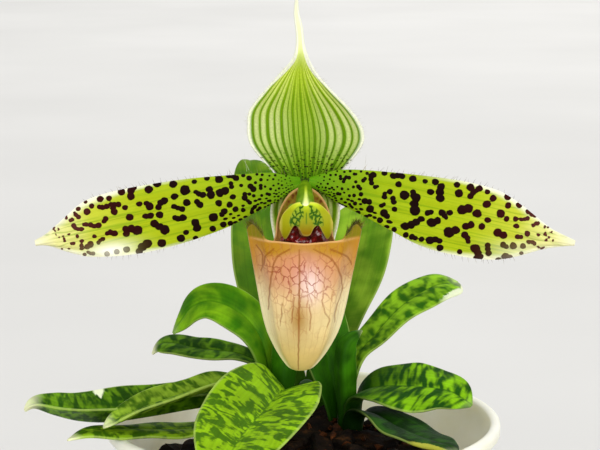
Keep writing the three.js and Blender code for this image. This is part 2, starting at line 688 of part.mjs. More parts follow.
const SCAPE_RIB = [[-6, 3.2, 98], [-5, 6, 106], [-3, 8.4, 118], [-1.4, 7, 128], [-0.6, 3.6, 133.6]];
const OVARY_RIB = [[-0.2, 1.6, 136], [0.1, -7, 146], [0.2, -17, 153.4], [0.3, -27.4, 156.4]];

function scape(margin = 0) {
  return stalk({ line: lineThrough(SCAPE_RIB), radius: varying(2.3, 2, 1.9, 1.9) }, margin);
}

function ovary(margin = 0) {
  const line = lineThrough(OVARY_RIB);
  return stalk({ line, radius: varying(1.7, 2.4, 2.7, 2.3, 2.5), sides: 12 }, margin);
}

// The bract clasps the top of the scape and the foot of the ovary.
const BRACT = {
  rib: [[0, 8, 128.5], [0.2, 6.4, 134], [0.3, 2.4, 142], [0.3, -1, 150]],
  side: [1, 0, 0],
  halfWidth: profile([[0, 3.6], [0.3, 5.6], [0.7, 4], [1, 0.5]]),
  fold: varying(20, 30, 24),
  curl: varying(80, 60, 30),
  roll: () => 0,
  thickness: () => PETAL_THICKNESS,
  along: 8,
};

// A solid is given in the plant's frame, and its mesh turns on its own foot.
function place(parent, name, solid, look, foot) {
  const { vertProperties, triVerts } = solid.getMesh();
  const geometry = new THREE.BufferGeometry()
    .setAttribute("position", new THREE.BufferAttribute(vertProperties, 3))
    .setIndex(new THREE.BufferAttribute(triVerts, 1))
    .translate(...foot.map((value) => -value));
  geometry.computeVertexNormals();
  const mesh = new THREE.Mesh(geometry, new THREE.MeshStandardMaterial({ ...look, metalness: 0 }));
  mesh.name = name;
  mesh.position.set(...foot).sub(parent.position);
  parent.add(mesh);
}

// The bloom, from the heart outwards: each piece is cut clear of those before it.
function bloom() {
  const group = new THREE.Group();
  group.position.set(...HEART);
  const heart = joined(column(GAP), ovary(GAP));
  const shieldSpace = sheet(shield(), GAP);
  const lipSpace = cup(lipSurface(), GAP);
  place(group, "column", cutClear(column(), shieldSpace), LOOKS.column, HEART);
  place(group, "shield", sheet(shield()), LOOKS.column, SHIELD.middle);
  const lip = joined(cup(lipSurface()), sideLobes());
  place(group, "pouched_lip", cutClear(lip, column(GAP), shieldSpace), LOOKS.lip, LIP_TOE);
  const taken = [heart, lipSpace];
  for (const [name, shape] of Object.entries(PETALS)) {
    place(group, name, cutClear(sheet(petal(shape)), ...taken), LOOKS.petal, HEART);
    taken.push(sheet(petal(shape), GAP));
  }
  place(group, "back_sepal", cutClear(sheet(sepal(BACK_SEPAL)), ...taken), LOOKS.sepal, HEART);
  taken.push(sheet(sepal(BACK_SEPAL), GAP));
  place(group, "lower_sepal", cutClear(sheet(sepal(LOWER_SEPAL)), ...taken), LOOKS.sepal, HEART);
  place(group, "ovary", cutClear(ovary(), column(GAP), scape(GAP)), LOOKS.ovary, OVARY_RIB[0]);
  place(group, "scape", cutClear(scape(), rootstock(GAP)), LOOKS.scape, SCAPE_RIB[0]);
  place(group, "bract", cutClear(blade(BRACT), ovary(GAP), scape(GAP)), LOOKS.bract, BRACT.rib[0]);
  return group;
}

function foliage() {
  const group = new THREE.Group();
  const taken = [rootstock(GAP), scape(GAP)];
  for (const [name, leaf] of Object.entries(LEAVES)) {
    const shape = leafShape(leaf);
    place(group, name, cutClear(blade(shape), ...taken), LOOKS.leaf, leaf.rib[0]);
    taken.push(blade(shape, GAP));
  }
  return { group, space: joined(...taken) };
}

function potAndMix(plantSpace) {
  const group = new THREE.Group();
  const crown = [STEMS.left.x, STEMS.left.y, RHIZOME.z];
  place(group, "rootstock", rootstock(), LOOKS.root, crown);
  place(group, "potting_mix", pottingMix(plantSpace), LOOKS.mix, [0, 0, POT_FLOOR]);
  place(group, "pot", pot(), LOOKS.pot, [0, 0, 0]);
  return group;
}

const leaves = foliage();
const orchid = new THREE.Group();
orchid.add(bloom(), leaves.group, potAndMix(leaves.space));

export default orchid;
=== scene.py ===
import math
import random

import bpy
import numpy as np
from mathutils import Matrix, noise


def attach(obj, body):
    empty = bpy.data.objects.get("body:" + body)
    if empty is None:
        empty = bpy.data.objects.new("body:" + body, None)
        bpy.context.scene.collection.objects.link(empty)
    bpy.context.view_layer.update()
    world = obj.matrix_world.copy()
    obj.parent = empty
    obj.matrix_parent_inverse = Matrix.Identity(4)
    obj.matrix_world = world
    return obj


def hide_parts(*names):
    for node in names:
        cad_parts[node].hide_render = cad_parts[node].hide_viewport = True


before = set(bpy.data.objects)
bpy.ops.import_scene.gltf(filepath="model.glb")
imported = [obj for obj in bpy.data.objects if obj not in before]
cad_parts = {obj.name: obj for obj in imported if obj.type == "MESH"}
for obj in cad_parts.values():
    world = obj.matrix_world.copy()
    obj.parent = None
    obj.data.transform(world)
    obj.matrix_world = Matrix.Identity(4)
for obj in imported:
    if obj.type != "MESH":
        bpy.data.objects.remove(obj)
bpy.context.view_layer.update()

# A potted slipper orchid: one spotted bloom over three fans of mottled leaves.
# Sizes are in millimetres and become metres where a mesh is made.
MM = 0.001

POT = {"height": 90, "rim": 51.5, "lip_width": 2.6, "lip_height": 3.8, "foot": 35, "wall": 1.6, "floor": 2.4}
DRAIN = {"holes": 6, "radius": 3.5, "ring": 22}
MOUND = {"top": 86, "drop": 18}
# Each fan's stem, as x, y, height of its top and radius.
STEMS = {"left": (-6, 3, 95, 2.6), "right": (11.5, 9, 97, 2.4), "back": (1, 24, 94, 2.4)}
RHIZOME = {"z": 79, "radius": 3}
LEAF_THICKNESS = (1.5, 0.7)
HEART = np.array([0.3, -31, 157.2])
PETAL_LENGTH = 66.8
PETAL_DROOP = math.radians(12.8)
PETAL_THICKNESS = 1.0
LIP_MIDDLE = 0.1
LIP_TOE = (-0.9, -45.5, 113.8)
LIP_WALL = 0.9
SHIELD = {"middle": (0.6, -45.2, 149.7), "half_width": 6.2, "dome": 1.6, "lean": 0.25}


class Line:
    """A smooth line through points, read by its own parameter or by the share of its length."""

    def __init__(self, points, closed=False):
        p = np.array(points, float)
        self.spans = len(p) if closed else len(p) - 1
        before, after = (p[-1:], p[:2]) if closed else (2 * p[:1] - p[1:2], 2 * p[-1:] - p[-2:-1])
        self.corners = np.vstack([before, p, after])
        self.steps = np.linspace(0, 1, 801)
        gaps = np.linalg.norm(np.diff(self.at(self.steps), axis=0), axis=1)
        run = np.concatenate([[0], np.cumsum(gaps)])
        self.length = run[-1]
        self.shares = run / run[-1]

    def at(self, t):
        x = np.clip(np.asarray(t, float), 0, 1) * self.spans
        k = np.minimum(x.astype(int), self.spans - 1)
        w = (x - k)[..., None]
        before, start, end, after = (self.corners[k + i] for i in range(4))
        leaving, arriving = (end - before) / 2, (after - start) / 2
        cubic = (2 * start - 2 * end + leaving + arriving) * w**3
        square = (-3 * start + 3 * end - 2 * leaving - arriving) * w**2
        return cubic + square + leaving * w + start

    def along(self, u):
        return self.at(np.interp(u, self.shares, self.steps))

    def heading(self, u):
        ahead = self.along(np.minimum(1, np.asarray(u) + 1e-3))
        return unit(ahead - self.along(np.maximum(0, np.asarray(u) - 1e-3)))


def unit(vectors):
    return vectors / np.maximum(1e-12, np.linalg.norm(vectors, axis=-1, keepdims=True))


def varying(*values):
    """A number that passes smoothly through values spaced evenly over u 0..1."""
    line = Line([(i, value, 0) for i, value in enumerate(values)])
    return lambda u: line.at(u)[..., 1]


def profile(stations):
    """The same, with each value at its own u: a list of (u, value)."""
    places, values = (np.array(column, float) for column in zip(*stations))
    last = len(places) - 1

    def slope(i):
        after, before = np.clip(i + 1, 0, last), np.clip(i - 1, 0, last)
        return (values[after] - values[before]) / (places[after] - places[before])

    def read(u):
        k = np.clip(np.searchsorted(places, u) - 1, 0, last - 1)
        span, rise = places[k + 1] - places[k], values[k + 1] - values[k]
        x = np.clip((u - places[k]) / span, 0, 1)
        leaving = (1 - x) * (slope(k) * span - rise)
        arriving = x * (slope(k + 1) * span - rise)
        return values[k] + x * rise + x * (1 - x) * (leaving - arriving)

    return read


def smooth(x, low, high):
    t = np.clip((x - low) / (high - low), 0, 1)
    return t * t * (3 - 2 * t)


def frames_along(line, side):
    """Directions carried along a line without twisting: across it, and up from it."""
    steps = 60
    forward = line.heading(np.linspace(0, 1, steps + 1))
    sides = []
    for way in forward:
        side = unit(side - way * side.dot(way))
        sides.append(side)
    sides = np.array(sides)

    def read(u):
        x = np.asarray(u) * steps
        k = np.minimum(x.astype(int), steps - 1)
        share = (x - k)[..., None]
        across, ahead = (unit(d[k] * (1 - share) + d[k + 1] * share) for d in (sides, forward))
        return across, np.cross(across, ahead)

    return read


# Making meshes.


def chosen(*pieces):
    """Selects these pieces alone and makes the first one active."""
    bpy.ops.object.select_all(action="DESELECT")
    for piece in pieces:
        piece.select_set(True)
    bpy.context.view_layer.objects.active = pieces[0]


def named(name):
    """Names the piece in hand, and its mesh."""
    piece = bpy.context.object
    piece.name = piece.data.name = name
    return piece


def joined(name, parts):
    """Runs parts together into one piece, each with its place in its mesh."""
    chosen(*parts)
    bpy.ops.object.transform_apply()
    bpy.ops.object.join()
    return named(name)


def laid_grid(name, along, across, surface, sizes=None, ease=1.0):
    """A grid whose points are laid on surface(u, s), for u 0..1 along it and s -1..1 across.
    Its map "share" holds u and s, and its map "mm" the same in millimetres."""
    bpy.ops.object.select_all(action="DESELECT")
    bpy.ops.mesh.primitive_grid_add(x_subdivisions=along, y_subdivisions=across, size=2)
    piece = named(name)
    mesh = piece.data
    flat = np.empty(3 * len(mesh.vertices))
    mesh.vertices.foreach_get("co", flat)
    u, s = np.clip((flat[0::3] + 1) / 2, 0, 1) ** ease, flat[1::3]
    mesh.vertices.foreach_set("co", (surface(u, s) * MM).ravel())
    corners = np.empty(len(mesh.loops), int)
    mesh.loops.foreach_get("vertex_index", corners)
    while mesh.uv_layers:
        mesh.uv_layers.remove(mesh.uv_layers[0])
    for label, pair in {"share": (u, (s + 1) / 2), "mm": sizes(u, s) if sizes else (u, s)}.items():
        layer = mesh.uv_layers.new(name=label)
        layer.uv.foreach_set("vector", np.stack(pair, 1)[corners].ravel())
    mesh.update()
    return piece, u, s


def closed_up(piece, outwards=True):
    """Merges the seam and the poles of a tube or cup, and may turn its faces outwards."""
    chosen(piece)
    bpy.ops.object.mode_set(mode="EDIT")
    bpy.ops.mesh.select_all(action="SELECT")
    bpy.ops.mesh.remove_doubles(threshold=2e-6)
    bpy.ops.mesh.select_all(action="SELECT")
    bpy.ops.mesh.dissolve_degenerate(threshold=1e-7)
    if outwards:
        bpy.ops.mesh.select_all(action="SELECT")
        bpy.ops.mesh.normals_make_consistent(inside=False)
    bpy.ops.object.mode_set(mode="OBJECT")


def modified(piece, kind, **settings):
    bpy.context.view_layer.objects.active = piece
    modifier = piece.modifiers.new(kind, kind)
    for name, value in settings.items():
        setattr(modifier, name, value)
    bpy.ops.object.modifier_apply(modifier=modifier.name)


def thickened(piece, thickness, **settings):
    """Gives a sheet its thickness, in millimetres for each point, half on each side."""
    most = float(np.max(thickness))
    group = piece.vertex_groups.new(name="thickness")
    for i, value in enumerate(np.broadcast_to(thickness, len(piece.data.vertices))):
        group.add([i], float(value) / most, "REPLACE")
    choices = {"offset": 0, "material_offset": 1, **settings}
    modified(piece, "SOLIDIFY", thickness=most * MM, vertex_group="thickness", **choices)
    piece.vertex_groups.clear()


def painted(piece, **numbers):
    """Keeps numbers for each point, which a material reads by their names."""
    for name, values in numbers.items():
        layer = piece.data.attributes.new(name, "FLOAT", "POINT")
        layer.data.foreach_set("value", np.asarray(values, np.float32))


def placed(piece, materials, slot, *nodes):
    """Gives a finished piece its materials and its body, and hides the solids it stands for."""
    for material in materials:
        piece.data.materials.append(material)
    chosen(piece)
    bpy.ops.object.shade_smooth_by_angle(angle=math.radians(50))
    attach(piece, "root")
    if nodes:
        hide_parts(*nodes)


def from_faces(name, vertices, faces):
    mesh = bpy.data.meshes.new(name)
    mesh.from_pydata((np.asarray(vertices) * MM).tolist(), [], faces)
    mesh.update()
    piece = bpy.data.objects.new(name, mesh)
    bpy.context.scene.collection.objects.link(piece)
    return piece


def hairs(name, strands, girth, slot, look):
    """Tapered three-sided hairs. A strand is its root, way, length and lean, and curves over
    from its root along the lean."""
    levels = 4
    vertices, faces = [], []
    for root, way, length, lean in strands:
        way, lean = unit(np.array(way, float)), np.array(lean)
        side = unit(np.cross(way, (0.3, 0.5, 0.81)))
        third = np.cross(way, side)
        base, top = len(vertices), len(vertices) + 3 * levels
        for level in range(levels):
            t = level / levels
            middle = root + way * (length * t - 0.15) + lean * length * t * t
            for k in range(3):
                angle = 2 * math.pi * k / 3
                out = side * math.cos(angle) + third * math.sin(angle)
                vertices.append(middle + out * girth * (1 - 0.8 * t))
        vertices.append(root + way * length + lean * length)
        faces.append((base + 2, base + 1, base))
        for level in range(levels - 1):
            for k in range(3):
                a, b = base + 3 * level + k, base + 3 * level + (k + 1) % 3
                faces.append((a, b, b + 3, a + 3))
        faces.extend((top - 3 + k, top - 3 + (k + 1) % 3, top) for k in range(3))
    placed(from_faces(name, vertices, faces), [hair_finish(*look)], slot)


# Finishes.


def colour(code):
    """An sRGB hex colour as the linear colour that a shader takes."""
    parts = [int(code[i : i + 2], 16) / 255 for i in (1, 3, 5)]
    return (*(c / 12.92 if c <= 0.04045 else ((c + 0.055) / 1.055) ** 2.4 for c in parts), 1)


# What the second word of a node's kind sets, and the order of a finish's scatter.
CHOICES = {"Math": "operation", "VectorMath": "operation", "MapRange": "interpolation_type",
           "Mix": "blend_type", "UVMap": "uv_map", "Attribute": "attribute_name", "TexVoronoi": "feature"}
SCATTER = ("Subsurface Weight", "Subsurface Scale", "Subsurface Radius")


class Finish:
    """A material, with its constants on the shader's own sockets."""

    def __init__(self, name, ior, specular, scatter=(), **others):
        self.material = bpy.data.materials.new(name)
        self.material.use_nodes = True
        self.tree = self.material.node_tree
        self.shader = self.tree.nodes["Principled BSDF"]
        constants = {"IOR": ior, "Specular_IOR_Level": specular, **dict(zip(SCATTER, scatter)), **others}
        for key, value in constants.items():
            self.shader.inputs[key.replace("_", " ")].default_value = value

    def node(self, kind, *values, **more):
        """Adds a node of a kind and choice, and sets its inputs in order or by name, each to a
        value, a node or a socket. A ramp takes its (place, colour) stops first."""
        kind, _, choice = kind.partition(" ")
        made = self.tree.nodes.new("ShaderNode" + kind)
        if kind == "Mix":
            made.data_type = "RGBA"
        if choice:
            setattr(made, CHOICES[kind], choice)
        if kind == "ValToRGB":
            stops, *values = values
            elements = made.color_ramp.elements
            while len(elements) < len(stops):
                elements.new(1)
            for element, (place, shade) in zip(elements, stops):
                element.position, element.color = place, colour(shade)
        given = list(zip([socket for socket in made.inputs if socket.enabled], values))
        given += [(made.inputs[key], value) for key, value in more.items()]
        for socket, value in given:
            if isinstance(value, bpy.types.Node):
                value = next(output for output in value.outputs if output.enabled)
            if isinstance(value, bpy.types.NodeSocket):
                self.tree.links.new(value, socket)
            else:
                socket.default_value = colour(value) if isinstance(value, str) else value
        return made

    def wired(self, ground, coats, gloss, relief, depth):
        """Lays coats over the ground colour, each a share, a shade and perhaps how it blends. Joins
        them, the gloss and the relief to the shader. Gloss may be a pattern with the roughness at
        its low and high end, and the relief's depth is in metres."""
        for share, shade, *blend in coats:
            ground = self.node(" ".join(["Mix", *blend]), share, ground, shade)
        if isinstance(gloss, tuple):
            pattern, low, high = gloss
            gloss = self.node("MapRange", pattern, 0.0, 1.0, low, high)
        bump = self.node("Bump", Height=relief, Distance=depth, Strength=1.0)
        for name, source in {"Base Color": ground, "Roughness": gloss, "Normal": bump}.items():
            output = next(output for output in source.outputs if output.enabled)
            self.tree.links.new(output, self.shader.inputs[name])
        return self.material


def leaf_finish(name, look, start):
    """Living leaf of a mottled slipper orchid: waxy cuticle, with dark and light cells in broken
    bands that run from the midrib to the margin, and fine veins along the blade."""
    leaf = Finish(name, 1.4, 0.1, (0.05, 0.0012, (0.5, 1.0, 0.15)))
    node = leaf.node
    dark, light, foot = look["colours"]
    length, reach, slant, soft = look["band"]
    cover, bend, raggedness = look["cells"]
    shade_end, pale_tip = look["ends"]
    u, v, _ = node("SeparateXYZ", node("UVMap share")).outputs
    along, across, _ = node("SeparateXYZ", node("UVMap mm")).outputs
    out, half = node("Math ABSOLUTE", across), node("Math SIGN", across)
    # Each half of the blade has bands of its own.
    spread = node("CombineXYZ", node("Math MULTIPLY_ADD", out, -slant, along), out, half)
    bands = node("Mapping", spread, Scale=(1 / length, 1 / reach, 9.0), Location=(0, 0, start))
    broad = node("TexNoise", bands, Scale=1.0, Detail=1.0, Distortion=bend)
    # Their edges are ragged by the leaf's cells, drawn at 0.7 mm to show.
    ragged = node("TexNoise", node("Mapping", spread, Scale=(1.4, 0.6, 5.0)), Scale=1.0, Detail=3.0)
    mixed = node("Math MULTIPLY_ADD", ragged, raggedness, broad)
    middle = 0.5 + 0.5 * raggedness + 0.28 * (0.5 - cover)
    lightness = node("MapRange SMOOTHSTEP", mixed, middle - soft, middle + soft)
    # Tone drifts along each blade over about 11 mm.
    drift = node("TexNoise", spread, Scale=0.09, Detail=2.0)
    lines = node("TexNoise", node("Mapping", spread, Scale=(0.02, 1.5, 3.0)), Scale=1.0, Detail=2.0)
    # The midrib's groove is darker as painted shade, and the margin and the tip are paler.
    rib = node("MapRange SMOOTHSTEP", out, 0.1, 0.5, 0.45, 0.0)
    centred = node("Math MULTIPLY_ADD", v, 2.0, -1.0)
    rim = node("MapRange SMOOTHSTEP", node("Math ABSOLUTE", centred), 0.94, 1.0, 0.0, 0.55)
    tip = node("MapRange SMOOTHSTEP", u, 0.93, 0.99, 0.0, pale_tip)
    # A painted highlight, a white patch on one margin, is a lens that narrows away from its middle.
    highlight_at, highlight_long, highlight_side = look["white"]
    off = node("Math ABSOLUTE", node("Math SUBTRACT", u, highlight_at))
    within = node("MapRange SMOOTHSTEP", off, 0.5 * highlight_long, highlight_long, 1.0, 0.0)
    nearness = node("MapRange", off, 0.0, highlight_long, 0.3, 0.0)
    beside = node("Math ADD", node("Math MULTIPLY", centred, highlight_side), nearness)
    frayed = node("Math MULTIPLY_ADD", ragged, 0.3, beside)
    patch = node("Math MULTIPLY", within, node("MapRange SMOOTHSTEP", frayed, 1.04, 1.16))
    # The lower part is plainer and darker: painted shade where the next leaves cover it.
    painted_foot_shade = node("MapRange SMOOTHSTEP", u, 0.2, shade_end, 0.95, 0.0)
    coats = [(1.0, node("MapRange", drift, 0.3, 0.7, 0.74, 1.2), "MULTIPLY"),
             (1.0, node("MapRange", lines, 0.3, 0.7, 0.88, 1.1), "MULTIPLY"),
             (rib, dark), (rim, "#A8BC60"), (patch, look["patch"]), (tip, "#E4E6B8"), (painted_foot_shade, foot)]
    gloss = node("MapRange", ragged, 0.3, 0.7, 0.42, 0.6)
    return leaf.wired(node("Mix", lightness, dark, light), coats, gloss, lines, 0.0001)


def underside_finish():
    """Underside of a leaf: duller and bluer than the top, with purple-brown dust near the foot."""
    leaf = Finish("leaf_underside", 1.4, 0.3)
    node = leaf.node
    u, _, _ = node("SeparateXYZ", node("UVMap share")).outputs
    place = node("UVMap mm")
    lines = node("TexNoise", node("Mapping", place, Scale=(0.03, 1.4, 1.0)), Scale=1.0, Detail=2.0)
    clouds = node("TexNoise", place, Scale=0.25, Detail=3.0)
    ground = node("ValToRGB", [(0.3, "#3F6512"), (0.7, "#628220")], clouds)
    coats = [(1.0, node("MapRange", lines, 0.3, 0.7, 0.8, 1.15), "MULTIPLY"),
             (node("MapRange", u, 0.05, 0.4, 0.5, 0.0), "#4A3B22")]
    return leaf.wired(ground, coats, (clouds, 0.5, 0.62), lines, 0.0001)


def petal_finish():
    """Petal: thin waxy living tissue, lime fading to cream at the tip, with maroon warts. A painted
    highlight on its outer part pales it and dims the warts under it.
    """
    petal = Finish("petal_tissue", 1.4, 0.06, (0.08, 0.001, (0.8, 1.0, 0.25)))
    node = petal.node
    u, _, _ = node("SeparateXYZ", node("UVMap share")).outputs
    place = node("UVMap mm")
    # The pale number holds the petal's pale margin and a painted highlight, and the third number the painted
    # highlight alone.
    spot, pale, veil = (node("Attribute " + name).outputs["Fac"] for name in ("spot", "pale", "veil"))
    ground = node("ValToRGB", [(0.0, "#4E860A"), (0.14, "#74980C"), (0.27, "#92A80E"), (0.6, "#A2B014"),
                               (0.78, "#B8BE34"), (0.92, "#DCD88E"), (1.0, "#ECE8C0")], u)
    lines = node("TexNoise", node("Mapping", place, Scale=(0.03, 1.5, 1.0)), Scale=1.0, Detail=2.0)
    # The spots' outlines wander by about 0.2 mm.
    wobble = node("TexNoise", place, Scale=0.9, Detail=2.0)
    inside = node("MapRange SMOOTHSTEP", node("Math MULTIPLY_ADD", wobble, 0.45, spot), 0.18, 0.3)
    maroon = node("ValToRGB", [(0.0, "#130A02"), (0.5, "#160404"), (0.75, "#330A0A"), (1.0, "#6A3A30")], u)
    # The spots are dimmer under the painted highlight.
    strength = node("Math MULTIPLY", inside, node("Math MULTIPLY_ADD", veil, -0.4, 1.0))
    coats = [(node("MapRange SMOOTHSTEP", lines, 0.5, 0.66, 0.0, 0.55), "#6A900A"), (pale, "#F6F4DC"),
             (strength, maroon)]
    relief = node("Math MULTIPLY_ADD", inside, 0.7, lines)
    return petal.wired(ground, coats, (inside, 0.46, 0.66), relief, 0.00018)


def sepal_finish():
    """Sepal: thin papery tissue, cream with green veins that run from foot to tip. The number
    "vein" is whole at each vein, even at the strong ones and odd at the faint ones."""
    sepal = Finish("sepal_tissue", 1.4, 0.06, (0.08, 0.001, (0.8, 1.0, 0.3)))
    node = sepal.node
    u, v, _ = node("SeparateXYZ", node("UVMap share")).outputs
    along, across, _ = node("SeparateXYZ", node("UVMap mm")).outputs
    grain = node("TexNoise", node("CombineXYZ", along, across), Scale=2.2, Detail=4.0)
    vein = node("Attribute vein").outputs["Fac"]
    away, faint = node("Math PINGPONG", vein, 0.5), node("Math PINGPONG", vein, 1.0)
    inside = node("Math SUBTRACT", node("MapRange", faint, 0.0, 1.0, 0.18, 0.11), away)
    striped = node("MapRange SMOOTHSTEP", node("Math MULTIPLY_ADD", grain, 0.1, inside), -0.05, 0.12)
    halo = node("MapRange SMOOTHSTEP", inside, -0.28, 0.0, 0.0, 0.6)
    pale = node("ValToRGB", [(0.0, "#4E7C08"), (0.08, "#7C9E24"), (0.2, "#B4C272"), (0.3, "#BCC680"),
                             (0.42, "#B8C66C"), (0.6, "#D0E060"), (0.71, "#DCE68C"), (0.78, "#DEE0B0"),
                             (1.0, "#DCDCBE")], u)
    lime = node("ValToRGB", [(0.0, "#5A8406"), (0.2, "#7A9C10"), (0.42, "#90B018"), (0.6, "#B6D030"),
                             (0.75, "#C8DC5A")], u)
    dark = node("ValToRGB", [(0.0, "#3A6402"), (0.2, "#567E04"), (0.45, "#6E9408"), (0.62, "#A6C024"),
                             (0.7, "#C4D648")], u)
    out = node("Math ABSOLUTE", node("Math MULTIPLY_ADD", v, 2.0, -1.0))
    middle = node("MapRange SMOOTHSTEP", out, 0.1, 0.62, 0.88, 0.0)
    fades = node("MapRange SMOOTHSTEP", u, 0.62, 0.74, 1.0, 0.0)
    green = node("Math MULTIPLY", node("Math MAXIMUM", middle, halo), fades)
    run = node("Math MULTIPLY", striped, fades)
    # The white margin is a line round the broad part and widens up the cone to the tail.
    outer = node("Math ADD", out, node("MapRange SMOOTHSTEP", u, 0.5, 0.74, 0.0, 0.36))
    rim = node("MapRange SMOOTHSTEP", outer, 0.92, 1.0)
    # Dark specks about 0.4 mm across follow the veins near the foot.
    specks = node("TexVoronoi", node("CombineXYZ", vein, along), Scale=1.8, Randomness=0.7)
    dots = node("MapRange SMOOTHSTEP", specks, 0.3, 0.45, 1.0, 0.0)
    speck = node("Math MULTIPLY", dots, node("MapRange SMOOTHSTEP", u, 0.06, 0.2, 1.0, 0.0))
    mottle = node("MapRange", grain, 0.3, 0.7, 0.82, 1.08)
    coats = [(green, lime), (run, dark), (rim, "#EAEBD2"), (speck, "#1C1A06"), (fades, mottle, "MULTIPLY")]
    return sepal.wired(pale, coats, (grain, 0.42, 0.6), run, 0.00015)


# The lip's coats of colour over its ground, in order, each laid on by the number of its name.
# Some coats are painted light: a painted highlight on the front, painted light on the lower flanks, painted
# shade on the ochre upper flanks and a painted highlight along the ears' fold.
LIP_COATS = {"buff": "#EEE2B0", "flank": "#B27C20", "blush": "#C07864", "bloom": "#ECD8D2",
             "smear": "#94660E", "ochre": "#AA7A16", "ear": "#7C720A", "fold": "#D0A468"}


def lip_finish():
    """Pouch: thick waxy tissue, pale tan at the toe, pink above it and ochre at the rim and ears,
    with a fine net of red veins, faint long ones and a few strong brown ones. Painted light lies
    over it: painted highlights on the front and along the ears' fold, paler lower flanks and upper
    flanks whose ochre is darkened by painted shade."""
    lip = Finish("lip_tissue", 1.42, 0.12, (0.06, 0.001, (1.0, 0.6, 0.35)))
    node = lip.node
    u, v, _ = node("SeparateXYZ", node("UVMap share")).outputs
    place = node("TexCoord").outputs["Object"]
    numbers = ("netted", "vein", "gutter", *LIP_COATS)
    number = {name: node("Attribute " + name).outputs["Fac"] for name in numbers}
    ground = node("ValToRGB", [(0.0, "#CEB468"), (0.2, "#D0B46C"), (0.45, "#DAC48A"), (0.62, "#DCC08A"),
                               (0.75, "#CA9E6C"), (0.88, "#C08C48"), (1.0, "#B07C38")], v)
    blotches = node("TexNoise", place, Scale=190.0, Detail=3.0)
    # The net's meshes are about 2 mm wide and wander by 0.5 mm.
    wavy = node("TexNoise", place, Scale=700.0, Detail=2.0).outputs["Color"]
    moved = node("VectorMath ADD", place, node("VectorMath SCALE", wavy, Scale=0.0016))
    taller = node("Mapping", moved, Scale=(520.0, 260.0, 420.0))
    net = node("TexVoronoi DISTANCE_TO_EDGE", taller, Scale=1.0)
    thread = node("MapRange SMOOTHSTEP", net, 0.0, 0.085, 1.0, 0.0)
    broken = node("MapRange SMOOTHSTEP", blotches, 0.36, 0.56, 0.2, 1.0)
    netted = node("Math MULTIPLY", thread, node("Math MULTIPLY", broken, number["netted"]))
    # Faint veins run from the toe to the rim, 2 mm apart at the widest.
    between = node("Math PINGPONG", node("Math MULTIPLY_ADD", u, 38.0, blotches), 0.5)
    line = node("MapRange SMOOTHSTEP", between, 0.03, 0.12, 0.38, 0.0)
    shown = node("Math MULTIPLY", line, node("MapRange SMOOTHSTEP", v, 0.12, 0.4))
    strong = node("MapRange SMOOTHSTEP", number["vein"], 0.5, 0.9, 0.0, 0.66)
    specks = node("TexVoronoi", place, Scale=900.0)
    brown = node("ValToRGB", [(0.2, "#4E1206"), (0.36, "#6E4C10"), (0.6, "#86781C")], specks)
    # A paler hem runs along the rim, and stops at the ears.
    hem = node("MapRange SMOOTHSTEP", v, 0.986, 0.995, 0.0, 0.75)
    hemmed = node("Math MULTIPLY", hem, node("Math MULTIPLY_ADD", number["ear"], -0.85, 1.0))
    coats = [(1.0, node("MapRange", blotches, 0.3, 0.7, 0.9, 1.07), "MULTIPLY"),
             *((number[name], shade) for name, shade in LIP_COATS.items()),
             (netted, "#8C3A22"), (node("Math MULTIPLY", shown, broken), "#A8743A"), (strong, "#84480E"),
             (number["gutter"], brown), (hemmed, "#D2A268")]
    relief = node("Math MULTIPLY_ADD", netted, 0.5, strong)
    return lip.wired(ground, coats, (blotches, 0.28, 0.44), relief, -0.0001)


def lip_lining_finish():
    """Inside of the pouch: yellow-green, with rows of small red specks, and brown where the walls
    rise as gutters behind the shield."""
    lining = Finish("lip_lining", 1.4, 0.15)
    node = lining.node
    place = node("TexCoord").outputs["Object"]
    clouds = node("TexNoise", place, Scale=160.0, Detail=3.0)
    ground = node("ValToRGB", [(0.35, "#A8842A"), (0.65, "#C0A840")], clouds)
    specks = node("TexVoronoi", place, Scale=900.0)
    dots = node("MapRange SMOOTHSTEP", specks, 0.18, 0.36, 0.85, 0.0)
    coats = [(node("Attribute gutter").outputs["Fac"], "#74500E"), (dots, "#4A1608")]
    return lining.wired(ground, coats, (clouds, 0.45, 0.6), dots, 0.0001)


def lobe_finish():
    """Side lobes of the lip: wet-looking maroon tissue covered in round warts."""
    scatter = (0.05, 0.001, (1.0, 0.2, 0.2))
    lobe = Finish("lobe_tissue", 1.45, 0.6, scatter, Coat_Weight=0.6, Coat_Roughness=0.12)
    place = lobe.node("TexCoord").outputs["Object"]
    warts = lobe.node("TexVoronoi SMOOTH_F1", place, Scale=900.0, Smoothness=0.4)
    ground = lobe.node("ValToRGB", [(0.05, "#A43430"), (0.35, "#781214"), (0.7, "#4C0A0A")], warts)
    return lobe.wired(ground, [], (warts, 0.16, 0.4), warts, -0.0003)


